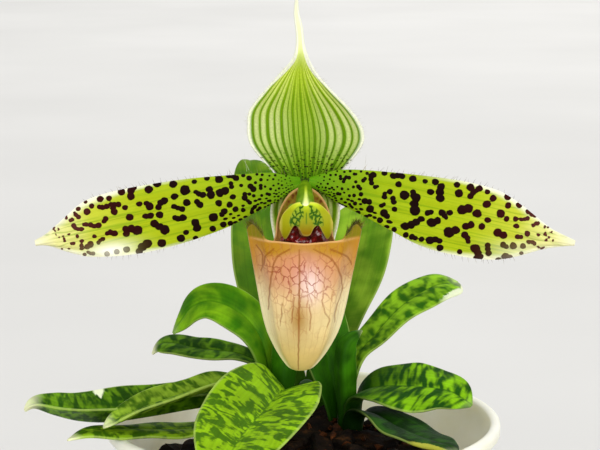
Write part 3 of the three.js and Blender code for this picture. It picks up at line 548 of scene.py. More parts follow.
def shield_finish():
    """Staminode: a waxy shield, olive in the middle and lime at the top, with a dark green net in
    a kidney-shaped band on each side of its middle."""
    shield = Finish("shield_tissue", 1.42, 0.1, (0.05, 0.001, (0.8, 1.0, 0.2)))
    node = shield.node
    place = node("UVMap mm")
    x, y, _ = node("SeparateXYZ", place).outputs
    out = node("Math ABSOLUTE", x)
    ground = node("ValToRGB", [(0.0, "#985E0E"), (0.2, "#94740C"), (0.45, "#8C8C0A"), (0.75, "#96A20E"),
                               (0.9, "#BED028"), (1.0, "#E2EC60")], node("MapRange", y, -4.2, 4.4))
    # The net's meshes are about 1 mm wide and 1.5 mm tall, and its band bends round the middle.
    jitter = node("TexNoise", place, Scale=1.4, Detail=1.0).outputs["Color"]
    bent = node("VectorMath MULTIPLY_ADD", jitter, (0.8, 0.8, 0.8), place)
    taller = node("Mapping", bent, Scale=(1.1, 0.72, 1.0))
    lattice = node("TexVoronoi DISTANCE_TO_EDGE", taller, Scale=1.0, Randomness=0.85)
    thread = node("MapRange SMOOTHSTEP", lattice, 0.06, 0.24, 1.0, 0.0)
    raised = node("Math MULTIPLY_ADD", y, 0.9, 0.6)
    reach = node("VectorMath LENGTH", node("CombineXYZ", x, raised)).outputs["Value"]
    off = node("Math ABSOLUTE", node("Math SUBTRACT", reach, 2.7))
    band = node("MapRange SMOOTHSTEP", off, 0.9, 1.4, 1.0, 0.0)
    upper = node("Math MULTIPLY", band, node("MapRange SMOOTHSTEP", y, -1.5, -0.6))
    patch = node("Math MULTIPLY", upper, node("MapRange SMOOTHSTEP", out, 0.4, 0.9))
    shown = node("Math MULTIPLY", thread, patch)
    # A short dark dash stands in the middle, from 0.5 mm below the map's zero to 1.9 mm above it.
    thin = node("MapRange SMOOTHSTEP", out, 0.08, 0.3, 0.8, 0.0)
    dash_end = node("Math ABSOLUTE", node("Math SUBTRACT", y, 0.7))
    dash = node("Math MULTIPLY", thin, node("MapRange SMOOTHSTEP", dash_end, 0.9, 1.5, 1.0, 0.0))
    coats = [(node("MapRange SMOOTHSTEP", out, 1.6, 4.6, 0.0, 0.8), "#9A9A0C"),
             (node("Attribute edge").outputs["Fac"], "#C2B252"),
             (node("Math MULTIPLY", patch, 0.55), "#7C9A2A"), (shown, "#2C5602"), (dash, "#4E7008")]
    return shield.wired(ground, coats, (lattice, 0.42, 0.34), shown, -0.0001)


def column_finish():
    """Column and anthers: smooth glossy tissue, green, with a painted highlight down its front that
    is narrow and yellow at the top and flares to white at the bottom."""
    column = Finish("column_tissue", 1.45, 0.3, Coat_Weight=0.15, Coat_Roughness=0.2)
    node = column.node
    place = node("TexCoord").outputs["Object"]
    x, y, z = node("SeparateXYZ", place).outputs
    # The painted highlight is a stripe down the front, narrow at the top and flaring wider at the bottom.
    highlight_middle, flare_from, flare_to = 0.0005, 0.1515, 0.1565
    sideways = node("Math ABSOLUTE", node("Math SUBTRACT", x, highlight_middle))
    flare = node("MapRange SMOOTHSTEP", z, flare_from, flare_to, 0.0016, 0.0005)
    highlight_mask = node("MapRange SMOOTHSTEP", node("Math DIVIDE", sideways, flare), 0.2, 1.0, 1.0, 0.0)
    front = node("MapRange SMOOTHSTEP", y, -0.041, -0.035, 1.0, 0.0)
    clouds = node("TexNoise", place, Scale=420.0, Detail=3.0)
    ground = node("ValToRGB", [(0.3, "#4E7406"), (0.7, "#789C12")], clouds)
    high = node("MapRange", z, flare_from, flare_to)
    highlight_colour = node("ValToRGB", [(0.0, "#F8F8C8"), (1.0, "#C8DC30")], high)
    coats = [(node("Math MULTIPLY", highlight_mask, front), highlight_colour)]
    return column.wired(ground, coats, (clouds, 0.26, 0.4), clouds, 0.0001)


def stalk_finish(name, low, high, ribs):
    """Flower stalk, ovary and bract: matt living tissue with fine ribs along it, under down."""
    stalk = Finish(name, 1.4, 0.25, Sheen_Weight=0.25, Sheen_Roughness=0.5)
    fine = stalk.node("Mapping", stalk.node("UVMap share"), Scale=(3.0, ribs, 1.0))
    streaks = stalk.node("TexNoise", fine, Scale=1.0, Detail=3.0)
    ground = stalk.node("ValToRGB", [(0.32, low), (0.68, high)], streaks)
    return stalk.wired(ground, [], (streaks, 0.5, 0.7), streaks, 0.0002)


def hair_finish(name, dark, pale):
    """Plant hair: clear cells with coloured sap, a little shiny."""
    hair = Finish(name, 1.45, 0.5)
    changing = hair.node("TexNoise", hair.node("TexCoord").outputs["Object"], Scale=300.0, Detail=1.0)
    ground = hair.node("ValToRGB", [(0.35, dark), (0.65, pale)], changing)
    return hair.wired(ground, [], (changing, 0.35, 0.5), changing, 0.00002)


def pot_finish():
    """Pot: injection-moulded polypropylene, creamy white and satin, with lime scale that grows
    towards the rim."""
    plastic = Finish("moulded_polypropylene", 1.49, 0.4, (0.8, 0.006, (1.0, 0.93, 0.78)))
    node = plastic.node
    place = node("TexCoord").outputs["Object"]
    _, _, z = node("SeparateXYZ", place).outputs
    clouds = node("TexNoise", place, Scale=55.0, Detail=5.0, Roughness=0.6)
    ground = node("ValToRGB", [(0.3, "#EEE8D0"), (0.7, "#F7F2E0")], clouds)
    dusty = node("MapRange SMOOTHSTEP", clouds, 0.52, 0.72, 0.0, 0.35)
    stain = node("Math MULTIPLY", dusty, node("MapRange SMOOTHSTEP", z, 0.05, 0.088, 0.25, 1.0))
    grain = node("TexNoise", place, Scale=1500.0, Detail=2.0)
    return plastic.wired(ground, [(stain, "#B8AF8C")], (clouds, 0.3, 0.48), grain, 0.00003)


def bark_finish(name, dark, brown, pale):
    """Composted pine bark: dull dark corky plates with paler broken edges, damp."""
    bark = Finish(name, 1.45, 0.12)
    node = bark.node
    place = node("TexCoord").outputs["Object"]
    plates = node("Mapping", place, Rotation=(0.5, 0.3, 0.7), Scale=(150.0, 220.0, 520.0))
    layers = node("TexNoise", plates, Scale=1.0, Detail=5.0, Roughness=0.6)
    ground = node("ValToRGB", [(0.35, dark), (0.58, brown), (0.75, pale)], layers)
    height = node("Math MULTIPLY_ADD", node("TexVoronoi", place, Scale=700.0), 0.4, layers)
    return bark.wired(ground, [], (layers, 0.62, 0.9), height, 0.0006)


def root_finish():
    """Roots: felted brown velamen. Above the mix the stems are green living tissue."""
    root = Finish("root_velamen", 1.4, 0.2, Sheen_Weight=0.3, Sheen_Roughness=0.6)
    node = root.node
    place = node("TexCoord").outputs["Object"]
    _, _, z = node("SeparateXYZ", place).outputs
    felt = node("TexNoise", place, Scale=900.0, Detail=4.0)
    ground = node("ValToRGB", [(0.3, "#4A3218"), (0.7, "#8F7040")], felt)
    coats = [(node("MapRange SMOOTHSTEP", z, 0.083, 0.087), "#2E5A10")]
    return root.wired(ground, coats, (felt, 0.7, 0.9), felt, 0.0003)


# The leaves. A rib starts beside its stem and ends at the tip; fold and roll are in degrees,
# foot to tip, and clasp is how far each half of the foot bends round the stem.
LEAF_HABIT = {"base": 0.42, "widest": 0.55, "blunt": 2.4, "clasp": 66, "roll": (0, 0), "side": None}
LEAVES = {
    "leaf_left_arching": {
        "rib": [(-9.8, 4, 83.5), (-9.9, 4.3, 95), (-10.2, 4.6, 104), (-12.2, 5, 110.6), (-16, 5.5, 115.4),
                (-21, 5, 118.6), (-25.5, 4.5, 119.6), (-29, 4.5, 118), (-31.6, 5.5, 114.6),
                (-34.4, 7, 110.6)],
        "width": 6.8, "base": 0.68, "fold": (10, 26, 14, 10), "roll": (0, 30, 38, 20), "look": "bright",
    },
    "leaf_front": {
        "rib": [(-5.6, -0.9, 83.5), (-5, -1.6, 92.6), (-4.6, -5.4, 97), (-5, -12, 99.6), (-6.6, -22, 101),
                (-9.4, -33, 100.4), (-12.8, -43, 99), (-15.8, -52, 97.4), (-18.4, -62, 94.6),
                (-20, -69, 90.4)],
        "width": 13.6, "base": 0.36, "fold": (10, 36, 26, 18), "roll": (0, 3, 0, -2), "look": "tessellated",
    },
    "leaf_left_near": {
        "rib": [(-11.1, 0, 83.5), (-12, -0.8, 92), (-15.4, -3.4, 98.4), (-20.5, -8, 100.7),
                (-27.5, -15, 100.2), (-36, -20, 98.6), (-44, -23, 96.2), (-50.2, -25, 94)],
        "width": 5, "base": 0.6, "widest": 0.66, "blunt": 5, "clasp": 46, "fold": (14, 34, 44, 34),
        "look": "fresh",
    },
    "leaf_left_long": {
        "rib": [(-12.4, 2.8, 83.5), (-13, 2.6, 89.6), (-16, 1.4, 93.4), (-21.5, -1.4, 94), (-29.5, -6, 93.8),
                (-39.5, -10, 93), (-49.5, -13.5, 92.5), (-57, -16, 93.5), (-63, -17.5, 95.5),
                (-68, -18.5, 97.5), (-70.5, -19, 96.5)],
        "width": 10.4, "widest": 0.62, "blunt": 3.4, "clasp": 40, "fold": (14, 44, 42, 34), "look": "mottled",
    },
    "leaf_left_low": {
        "rib": [(-11, -2.6, 83), (-13, -4.4, 87), (-18, -6.6, 88.4), (-25.5, -9, 88.8), (-33, -12, 89.2),
                (-40.5, -15, 90.2), (-48, -18.5, 91.2), (-54.5, -23, 91.8), (-59, -26, 91)],
        "width": 6, "clasp": 40, "fold": (14, 14, 6, 6), "look": "strap",
    },
    "leaf_centre_young": {
        "rib": [(11.1, 5.4, 83.5), (10.7, 4.7, 93), (10.3, 3.8, 100), (10.4, 3.6, 105.4), (11.2, 4, 108.6),
                (12.8, 5, 110.4), (15.5, 7, 111.5)],
        "side": (-1, 0.3, 0), "width": 4.4, "base": 0.8, "fold": (20, 52, 54, 40), "look": "stem",
    },
    "leaf_right_raised": {
        "rib": [(12.4, 12.6, 83.5), (12.6, 13.6, 93.6), (14.6, 17, 101.4), (19.4, 20, 106.6),
                (25.4, 24, 112.4), (31, 27.6, 116), (36.8, 31, 118.2), (43.2, 35, 118.4)],
        "width": 6.8, "base": 0.44, "widest": 0.84, "blunt": 4.5, "fold": (10, 26, 12, 8),
        "roll": (0, -12, -18, -20), "look": "tip_highlight",
    },
    "leaf_right_broad": {
        "rib": [(15, 6.4, 83.5), (15, 6.2, 91.6), (17.4, 4.8, 95.4), (21.8, 2.2, 97), (27.4, -0.8, 97.8),
                (33, -3, 98), (38, -5, 97.5), (43.5, -8, 95)],
        "width": 11.4, "base": 0.4, "widest": 0.6, "clasp": 46, "fold": (14, 20, 8, 6),
        "roll": (0, -12, -15, -14), "look": "blotched",
    },
    "leaf_right_low": {
        "rib": [(13.6, 3.4, 83), (14.6, 1.8, 89), (18.6, -4.8, 91.2), (24.2, -14.6, 90.6), (29.2, -24, 90.8),
                (33.2, -32, 91.6), (35.6, -36.6, 92), (37, -40, 91.4)],
        "width": 7.2, "base": 0.5, "clasp": 46, "fold": (14, 22, 12, 8), "look": "deep",
    },
    "leaf_back_left": {
        "rib": [(-1.8, 26.4, 82), (-3.4, 27.2, 91), (-6.8, 30, 99.5), (-9.2, 35, 109), (-10.5, 40, 119),
                (-11.5, 44, 129), (-12.5, 48, 138.5), (-14, 52, 145.5), (-15, 58, 148.5), (-15.5, 64, 148.5)],
        "width": 10, "blunt": 1.9, "fold": (10, 26, 18, 14), "look": "soft",
    },
    "leaf_back_right": {
        "rib": [(4.2, 25.9, 82), (5.2, 27.4, 91), (7.6, 30.6, 99.5), (10, 35, 108), (13, 40, 117),
                (15.2, 44, 124.5), (16.6, 48, 130.5), (17.6, 53, 135.5), (18.2, 59, 138.5)],
        "width": 10.2, "widest": 0.68, "blunt": 3.2, "fold": (10, 26, 18, 14), "look": "sunny",
    },
    "leaf_back_low": {
        "rib": [(-4.4, 22.2, 82), (-5.8, 21.4, 90), (-10.4, 20.2, 97.4), (-17, 20.4, 101.2), (-23, 22, 101.9),
                (-29.6, 24, 102.2), (-35.3, 27, 102.8), (-39.3, 28.6, 102.2), (-41.6, 29, 99.6)],
        "width": 4.8, "widest": 0.74, "blunt": 3.4, "clasp": 46, "fold": (14, 26, 16, 12),
        "roll": (0, 4, 12, 14), "look": "dusky",
    },
    "leaf_centre_behind": {
        "rib": [(9.4, 12.3, 83.5), (8.4, 13, 92), (6.6, 14.2, 100), (5, 15.6, 107.5), (4, 17.8, 114.5),
                (3.9, 20.6, 121), (4.4, 25, 125)],
        "width": 7.6, "base": 0.6, "fold": (14, 28, 22, 16), "look": "stem",
    },
    "leaf_left_sheath": {
        "rib": [(-5.6, -0.4, 96.4), (-5, -0.2, 103), (-4.2, 1, 109), (-3.6, 2.6, 113.6)],
        "side": (-1, 0, 0), "width": 4.4, "base": 0.9, "clasp": 0, "fold": (40, 44, 34, 20), "look": "stem",
    },
}
# Each look's colours are its dark cells, light cells and the painted shade of its lower part. Its bands
# have a length along the blade and a reach across it in mm, a slant and a softness. Its cells have the
# light ones' share, the bands' bend and their raggedness. Its ends are the share of the length where
# the lower part's painted shade has gone and the tip's paleness. White is a painted highlight on one
# margin: its place along the blade, its length and its side. A place beyond the tip leaves it out.
LEAF_LOOK = {"white": (2, 0.05, 1), "patch": "#E2E8C4"}
LEAF_LOOKS = {
    "tessellated": {"colours": ("#426A08", "#88B410", "#1E4E04"), "band": (3.1, 4.8, 0.0, 0.08),
                    "cells": (0.52, 0.9, 0.42), "ends": (0.3, 0.2)},
    "blotched": {"colours": ("#1C4A06", "#80B80E", "#143C04"), "band": (1.9, 6, -0.25, 0.13),
                 "cells": (0.44, 0.2, 0.18), "ends": (0.7, 0.1)},
    "mottled": {"colours": ("#244A04", "#5E8810", "#1A3E04"), "band": (2, 3.6, 0.2, 0.16),
                "cells": (0.45, 0.4, 0.3), "ends": (0.5, 0.9), "white": (0.7, 0.03, 1)},
    "fresh": {"colours": ("#3A6006", "#86A82A", "#204A04"), "band": (2, 3.6, 0.2, 0.16),
              "cells": (0.6, 0.4, 0.3), "ends": (0.45, 0.7)},
    "strap": {"colours": ("#3E640C", "#8CB41E", "#2C4C08"), "band": (3, 3, 0.2, 0.12),
              "cells": (0.5, 0.4, 0.3), "ends": (0.4, 0.9)},
    "dusky": {"colours": ("#1E4404", "#5C8614", "#1A3C06"), "band": (2.4, 3, 0.2, 0.18),
              "cells": (0.5, 0.4, 0.2), "ends": (0.6, 0.9)},
    "tip_highlight": {"colours": ("#2A5C06", "#84B41C", "#245404"), "band": (2.6, 3, 0.1, 0.2),
                "cells": (0.54, 0.3, 0.2), "ends": (0.3, 0.3), "white": (0.93, 0.14, 1)},
    "bright": {"colours": ("#3A7804", "#84B814", "#1E4E04"), "band": (6, 5, 0.2, 0.24),
               "cells": (0.5, 0.3, 0.15), "ends": (0.72, 0.2)},
    "stem": {"colours": ("#204E02", "#3A7606", "#1C4802"), "band": (6, 5, 0.2, 0.24),
             "cells": (0.5, 0.3, 0.15), "ends": (0.5, 0.2)},
    "soft": {"colours": ("#44700C", "#6A8C16", "#3A680A"), "band": (6, 6, 0.2, 0.24),
             "cells": (0.5, 0.3, 0.15), "ends": (0.4, 0.3)},
    "sunny": {"colours": ("#4E7A10", "#84A828", "#3A680A"), "band": (6, 6, 0.2, 0.24),
              "cells": (0.55, 0.3, 0.15), "ends": (0.4, 0.3)},
    "deep": {"colours": ("#0E2A06", "#224A0A", "#0C2604"), "band": (4, 4, 0.3, 0.14),
             "cells": (0.35, 0.3, 0.2), "ends": (0.5, 0.2), "white": (0.86, 0.12, 1), "patch": "#A8A83C"},
}


# Waves of a blade's margin from foot to tip.
WAVES = 3.1


def leaf_outline(base, widest, blunt):
    tip_share = 0.035

    def read(u):
        low = base + (1 - base) * smooth(u, 0, widest)
        x = np.clip((u - widest) / (1 - widest), 0, 1)
        return np.where(u < widest, low, np.maximum(tip_share, (1 - x**blunt) ** 0.85))

    return read


def blade_surface(shape):
    """The middle surface of a blade on a rib, whose halves rise by the fold and curl on."""
    line = Line(shape["rib"])
    reach = line.along(1.0) - line.along(0.0)
    side = np.array(shape["side"] if shape["side"] else (reach[1], -reach[0], 0), float)
    frame_at = frames_along(line, unit(side))

    def surface(u, s):
        across, up = frame_at(u)
        curl = shape["curl"](u)
        curl = np.radians(np.where(np.abs(curl) < 0.01, 0.01, curl))
        half = shape["half_width"](u) / curl
        start = np.radians(shape["fold"](u))
        end = start + curl * np.abs(s)
        out = (np.sign(s) * half * (np.sin(end) - np.sin(start)))[:, None]
        wave = np.sin(2 * math.pi * (WAVES * u + shape["phase"]) + s) * smooth(u, 0.2, 0.5)
        wave = wave * shape["wave"] * s * s
        lift = (half * (np.cos(start) - np.cos(end)) + wave)[:, None]
        turn = np.radians(shape["roll"](u))[:, None]
        sideways = across * (out * np.cos(turn) - lift * np.sin(turn))
        return line.along(u) + sideways + up * (out * np.sin(turn) + lift * np.cos(turn))

    return surface, line.length


def make_leaves():
    # Each look's bands start elsewhere in the noise.
    looks = {name: leaf_finish("leaf_" + name, {**LEAF_LOOK, **look}, 1.85 * number)
             for number, (name, look) in enumerate(LEAF_LOOKS.items())}
    under = underside_finish()
    for number, (name, values) in enumerate(LEAVES.items()):
        leaf = {**LEAF_HABIT, **values}
        outline = leaf_outline(leaf["base"], leaf["widest"], leaf["blunt"])
        half_width = lambda u: leaf["width"] * outline(u)
        surface, length = blade_surface({
            **leaf, "half_width": half_width, "fold": varying(*leaf["fold"]), "roll": varying(*leaf["roll"]),
            "curl": varying(leaf["clasp"], -8, -16, -16), "wave": 0.35, "phase": 0.37 * number,
        })
        # The map's millimetres start apart, so that no two leaves share their bands.
        apart = 97.0 * number
        sizes = lambda u, s: (u * length + apart, s * half_width(u))
        piece, u, s = laid_grid("mottled_" + name, 72, 16, surface, sizes)
        piece.data.flip_normals()
        middle, edge = LEAF_THICKNESS
        groove = 1 - 0.25 * np.exp(-((s * half_width(u) / 0.5) ** 2))
        thickened(piece, (middle + (edge - middle) * s * s) * groove * (1 - 0.4 * smooth(u, 0.9, 1)))
        modified(piece, "SUBSURF", levels=1, render_levels=1)
        placed(piece, [looks[leaf["look"]], under], "leaf", name)


# The bloom. A petal's upper and lower margins are (share of its length, reach in mm), and its
# white patch, a painted highlight, has a place along it, a height across it and a strength.
PETALS = {
    "left": {
        "direction": -1,
        "upper": [(0, 1.4), (0.05, 2.9), (0.1, 4.2), (0.2, 5.3), (0.4, 7.1), (0.6, 8), (0.72, 7.9), (0.8, 7),
                  (0.9, 3.4), (0.96, 1.3), (1, 0.35)],
        "lower": [(0, 0.8), (0.05, 1.5), (0.1, 2.9), (0.2, 4.6), (0.3, 6.4), (0.45, 7.7), (0.6, 8.1),
                  (0.72, 7.5), (0.83, 6), (0.9, 3.7), (0.96, 1.3), (1, 0.35)],
        "white": (0.74, -0.72, 1.0),
        "seed": 11,
    },
    "right": {
        "direction": 1,
        "upper": [(0, 1.4), (0.05, 3.2), (0.1, 4.8), (0.2, 6.3), (0.4, 8), (0.55, 8.7), (0.66, 8.4),
                  (0.72, 7.6), (0.8, 5.4), (0.9, 2.2), (0.96, 1.1), (1, 0.35)],
        "lower": [(0, 0.6), (0.05, 1.2), (0.1, 2.7), (0.2, 4.3), (0.3, 6), (0.45, 8.7), (0.6, 9.3),
                  (0.72, 8.6), (0.8, 6.7), (0.9, 3), (0.96, 1.4), (1, 0.35)],
        "white": (0.8, -0.6, 0.35),
        "seed": 23,
    },
}
# Radius of a petal's spots, in mm, at shares of its length.
SPOT_SIZE = profile([(0, 0.2), (0.1, 0.35), (0.18, 0.6), (0.3, 0.92), (0.5, 1.08), (0.7, 1.0), (0.8, 0.72),
                     (0.87, 0.4), (0.93, 0.2), (1, 0.1)])


def petal_spots(reach_at, draw):
    """Spots as (along, across, radius, stretch) in mm: warts in groups of one to four, some cut
    by the margins, fine dots at the foot, and rows of dashes along the foot's lower side."""
    spots = []
    most_spots = 170

    def free(along, across, radius, apart):
        return all(math.hypot(along - a, across - b) > radius + r + apart for a, b, r, _ in spots)

    def wart(u, s, share):
        return u * PETAL_LENGTH, float(reach_at(u, s)), 0.95 * float(SPOT_SIZE(u)) * share, 1.1

    for edge in (-1, 1):
        place = 0.2
        while place < 0.88:
            spots.append(wart(place, edge * draw.uniform(0.82, 1.0), draw.uniform(0.6, 1.0)))
            place += draw.uniform(0.035, 0.09)
    for _ in range(20000):
        u, s = draw.uniform(0.11, 0.92), draw.uniform(-0.92, 0.92)
        along, across, radius, stretch = wart(u, s, draw.uniform(0.68, 1.25))
        if len(spots) > most_spots or not free(along, across, radius, 0.32 * radius):
            continue
        spots.append((along, across, radius, stretch))
        heading = draw.choice((0, 0.3, -0.6, 0.9, 1.7)) + draw.uniform(-0.3, 0.3)
        for _ in range(draw.choice((0, 0, 1, 1, 2))):
            radius = radius * draw.uniform(0.75, 1.0)
            along += 1.5 * radius * math.cos(heading)
            across += 1.5 * radius * math.sin(heading)
            spots.append((along, across, radius, stretch))
            heading += draw.uniform(-0.7, 0.7)
    # Small round dots at the foot, and dashes in rows that follow the lower margin.
    for _ in range(500):
        u = draw.uniform(0.03, 0.2)
        along, across = u * PETAL_LENGTH, float(reach_at(u, draw.uniform(-0.1, 0.95)))
        radius = (0.12 + 1.9 * u) * draw.uniform(0.6, 1.1)
        if free(along, across, radius, 0.4):
            spots.append((along, across, radius, 1.15))
    for row in range(7):
        u = 0.03
        while u < 0.33:
            across = float(reach_at(u, -1)) + (0.3 + 0.62 * row) * (0.45 + 2.0 * u)
            radius = (0.1 + 1.15 * u) * draw.uniform(0.7, 1.15)
            along = u * PETAL_LENGTH
            if across < 0.2 and draw.random() < 0.88 and free(along, across, radius, 0.12):
                spots.append((along, across, radius, 1.6))
            u += 0.008 + 0.045 * u + draw.uniform(-0.002, 0.002)
    return spots


def make_petals():
    tissue = petal_finish()
    fringe = []
    for side, petal in PETALS.items():
        above, below = profile(petal["upper"]), profile(petal["lower"])
        forward = profile([(0, 2), (0.3, 2.8), (0.7, 1.8), (1, 2.4)])
        direction, foot = petal["direction"], 0.9
        reach_at = lambda u, s: np.where(np.asarray(s) > 0, s * above(u), s * below(u))

        def surface(u, s):
            reach = foot + u * (PETAL_LENGTH - foot)
            height = reach_at(u, s)
            ripple = (0.6 * np.sin(9 * u + direction) + 1.2 * u) * s * s
            ripple = ripple + 0.1 * np.sin(5 * math.pi * s) * smooth(u, 0.1, 0.4)
            x = direction * (reach * math.cos(PETAL_DROOP) + height * math.sin(PETAL_DROOP))
            z = height * math.cos(PETAL_DROOP) - reach * math.sin(PETAL_DROOP)
            return np.stack([x, ripple - forward(u), z], 1) + HEART

        draw = random.Random(petal["seed"])
        sizes = lambda u, s: (u * PETAL_LENGTH + 200 * (direction + 1), reach_at(u, s))
        piece, u, s = laid_grid(f"spotted_petal_{side}", 300, 64, surface, sizes, ease=1.25)
        if direction < 0:
            piece.data.flip_normals()
        along, across = u * PETAL_LENGTH, reach_at(u, s)
        field = np.full(len(u), -1.0)
        for a, b, radius, stretch in petal_spots(reach_at, draw):
            away = np.hypot((along - a) / stretch, across - b)
            field = np.maximum(field, 1 - away / radius)
        # The white patch is a painted highlight, and the pale margin beside it is the petal's own colour.
        where, height, most = petal["white"]
        patch = most * np.exp(-(((u - where) / 0.085) ** 2)) * smooth(-s, -height - 0.4, -height + 0.05)
        margin = 0.85 * smooth(np.abs(s), 0.9 - 0.35 * smooth(u, 0.5, 0.95), 1) * smooth(u, 0.35, 0.65)
        painted(piece, spot=field, veil=patch, pale=np.clip(np.maximum(patch, margin), 0, 1))
        thickness = PETAL_THICKNESS * (1 - 0.6 * s**4) * (1 + 0.25 * smooth(field, 0, 0.5))
        thickened(piece, thickness, material_offset=0)
        placed(piece, [tissue], "petal", f"petal_{side}")
        for edge in (-1, 1):
            place = 0.05
            while place < 0.8:
                base, inner = surface(np.full(2, place), np.array([1, 0.9]) * edge)
                way = unit(base - inner) + (draw.uniform(-0.3, 0.6) * direction, draw.uniform(-0.5, 0.2), 0)
                length = draw.uniform(0.7, 1.6) + 1.4 * max(0, 0.3 - place) / 0.3 * draw.random()
                fringe.append((base, way, length, (0.15 * direction, 0, draw.uniform(-0.2, 0.1))))
                place += draw.uniform(0.006, 0.03)
    hairs("petal_hairs", fringe, 0.05, "petal", ("petal_hair", "#2A1408", "#8C7A4A"))


# A sepal's left and right margins and its cup are (share of its length, mm). Its veins are where
# they cross the broadest part, as shares of its half-width, strong and faint in turn.
SEPALS = {
    "back": {
        "rib": [(0.5, -30.2, 157.8), (0.2, -29.4, 165), (-0.2, -29, 171), (-0.7, -30, 177), (-1, -32, 183),
                (-0.8, -34, 188.5), (-1, -35, 193.5), (-1.7, -35.4, 198), (-1.7, -35.6, 201.4)],
        "left": [(0, 6), (0.1, 10), (0.2, 13), (0.3, 13.3), (0.38, 12.4), (0.49, 8.4), (0.6, 4.2),
                 (0.67, 1.9), (0.75, 1), (0.87, 0.8), (1, 0.35)],
        "right": [(0, 7), (0.1, 11), (0.2, 14.1), (0.28, 14.2), (0.38, 11.7), (0.49, 7.4), (0.6, 3.7),
                  (0.67, 2.1), (0.75, 1), (0.87, 0.8), (1, 0.35)],
        "cup": [(0, 0), (0.2, 3.2), (0.45, 2.4), (0.7, 0.4), (1, 0)],
        "veins": (-0.92, -0.79, -0.65, -0.52, -0.39, -0.27, -0.18, -0.09, 0.0, 0.09, 0.19, 0.28, 0.4, 0.53,
                  0.69, 0.82, 0.94),
    },
    "lower": {
        "rib": [(0.5, -29.6, 156.6), (0.4, -27.6, 151), (0.2, -27, 143), (0, -28.6, 134), (-0.2, -31, 127)],
        "left": [(0, 2.4), (0.1, 7), (0.24, 8.4), (0.45, 7.4), (0.75, 4.8), (1, 0.5)],
        "right": [(0, 2.4), (0.1, 7), (0.24, 8.4), (0.45, 7.4), (0.75, 4.8), (1, 0.5)],
        "cup": [(0, 0), (0.5, 2.4), (1, 0)],
        "veins": tuple(-0.85 + 0.17 * k for k in range(11)),
    },
}
# The long hairs that stand at the back sepal's foot, each as root, length and lean.
LONG_HAIRS = (((-13.7, -33.2, 160), 4.8, (-0.05, 0, 0.1)), ((-13.2, -33.2, 160.4), 3.6, (-0.2, 0, 0.1)),
              ((14.7, -33, 160.6), 3.6, (0.03, 0, 0.1)))


def make_sepals():
    tissue = sepal_finish()
    draw = random.Random(5)
    fringe = []
    for side, sepal in SEPALS.items():
        line = Line(sepal["rib"])
        left, right, cup = (profile(sepal[name]) for name in ("left", "right", "cup"))
        half_width = lambda u, s: np.where(np.asarray(s) < 0, left(u), right(u))
        veins = sepal["veins"]
        numbers = range(len(veins))

        def surface(u, s):
            middle = line.along(u)
            ridge = 0.12 * np.cos(math.pi * np.interp(s, veins, numbers)) * smooth(1 - np.abs(s), 0.02, 0.15)
            middle[:, 0] += s * half_width(u, s)
            middle[:, 1] -= cup(u) * s * s + ridge * smooth(0.65 - u, 0, 0.2)
            return middle

        sizes = lambda u, s: (u * line.length, s * half_width(u, s))
        piece, u, s = laid_grid(f"striped_{side}_sepal", 130, 96, surface, sizes)
        if side == "back":
            piece.data.flip_normals()
        painted(piece, vein=np.interp(s, [-1, *veins, 1], [-0.5, *numbers, len(veins) - 0.5]))
        thickened(piece, PETAL_THICKNESS * (1 - 0.5 * s**4), material_offset=0)
        placed(piece, [tissue], "sepal", f"{side}_sepal")
        if side == "lower":
            continue
        for edge in (-1, 1):
            place = 0.02
            while place < 0.62:
                base = surface(np.array([place]), np.array([float(edge)]))[0]
                way = (edge, draw.uniform(-0.4, 0.3), draw.uniform(-0.2, 0.7))
                fringe.append((base, way, draw.uniform(0.5, 1.4), (0, 0, 0.2)))
                place += draw.uniform(0.004, 0.014)
        fringe += [(base, (lean[0] * 2, 0, 1), length, lean) for base, length, lean in LONG_HAIRS]
    hairs("sepal_hairs", fringe, 0.045, "sepal", ("sepal_hair", "#A7A58C", "#DCDCCB"))


# The pouch's rim from the middle of its front, over the right ear and back to the hinge, and how
# wide the pouch has spread at each share of its height.
RIM_HALF = [
    (0, -52, 145.8), (2.8, -51.9, 146), (5.6, -51.4, 146.2), (8.8, -50.1, 146.4), (10.1, -48.8, 147.7),
    (11.4, -47.3, 149.3), (12.6, -46.2, 149.4), (13.5, -45.4, 147.8), (12.8, -43.8, 145.5),
    (10.4, -41.6, 143.4), (8.2, -40.2, 143.2), (7, -39.3, 145.2), (6.6, -38.2, 148.8), (5.4, -36.9, 152.4),
    (3.2, -35.6, 155.3), (0, -34.8, 156.6),
]
POUCH_SPREAD = profile([(0, 0), (0.008, 0.13), (0.03, 0.23), (0.1, 0.375), (0.18, 0.5), (0.3, 0.64),
                        (0.45, 0.74), (0.7, 0.86), (1, 1)])
# The pouch's brown veins, each as (x, z) down its front, and last the seam down its middle.
LIP_VEINS = [
    [(-11.2, 144.6), (-9.9, 143.2), (-9.6, 141), (-10, 138.6)],
    [(-3.4, 144.5), (-6.4, 142.4), (-7.4, 139), (-8, 134.7), (-8.3, 129.6)],
    [(-7, 144.5), (-9, 142.4), (-9.4, 140.4)],
    [(2.4, 144.5), (5.8, 142.6), (7.4, 140.8), (8.6, 138), (9, 134.6), (8.4, 132.4)],
    [(6.2, 144.4), (8.6, 143.2), (10.4, 141.8), (11.2, 139.8)],
    [(8.4, 132.4), (7.4, 129.8), (7.2, 126.6)],
    [(4.2, 133), (4.8, 130.2), (6, 127.8), (5.4, 126)],
    [(-2.2, 133.6), (-2.6, 130.4), (-2.9, 127.4)],
    [(1.2, 132), (1.6, 129), (1.3, 125.6)],
    [(-5.1, 132.2), (-5.2, 129.4), (-5.6, 126.4)],
    [(-1.1, 144.4), (-1, 139), (-1.1, 134), (-1.2, 125), (-1.3, 118), (-1.3, 114.6)],
]


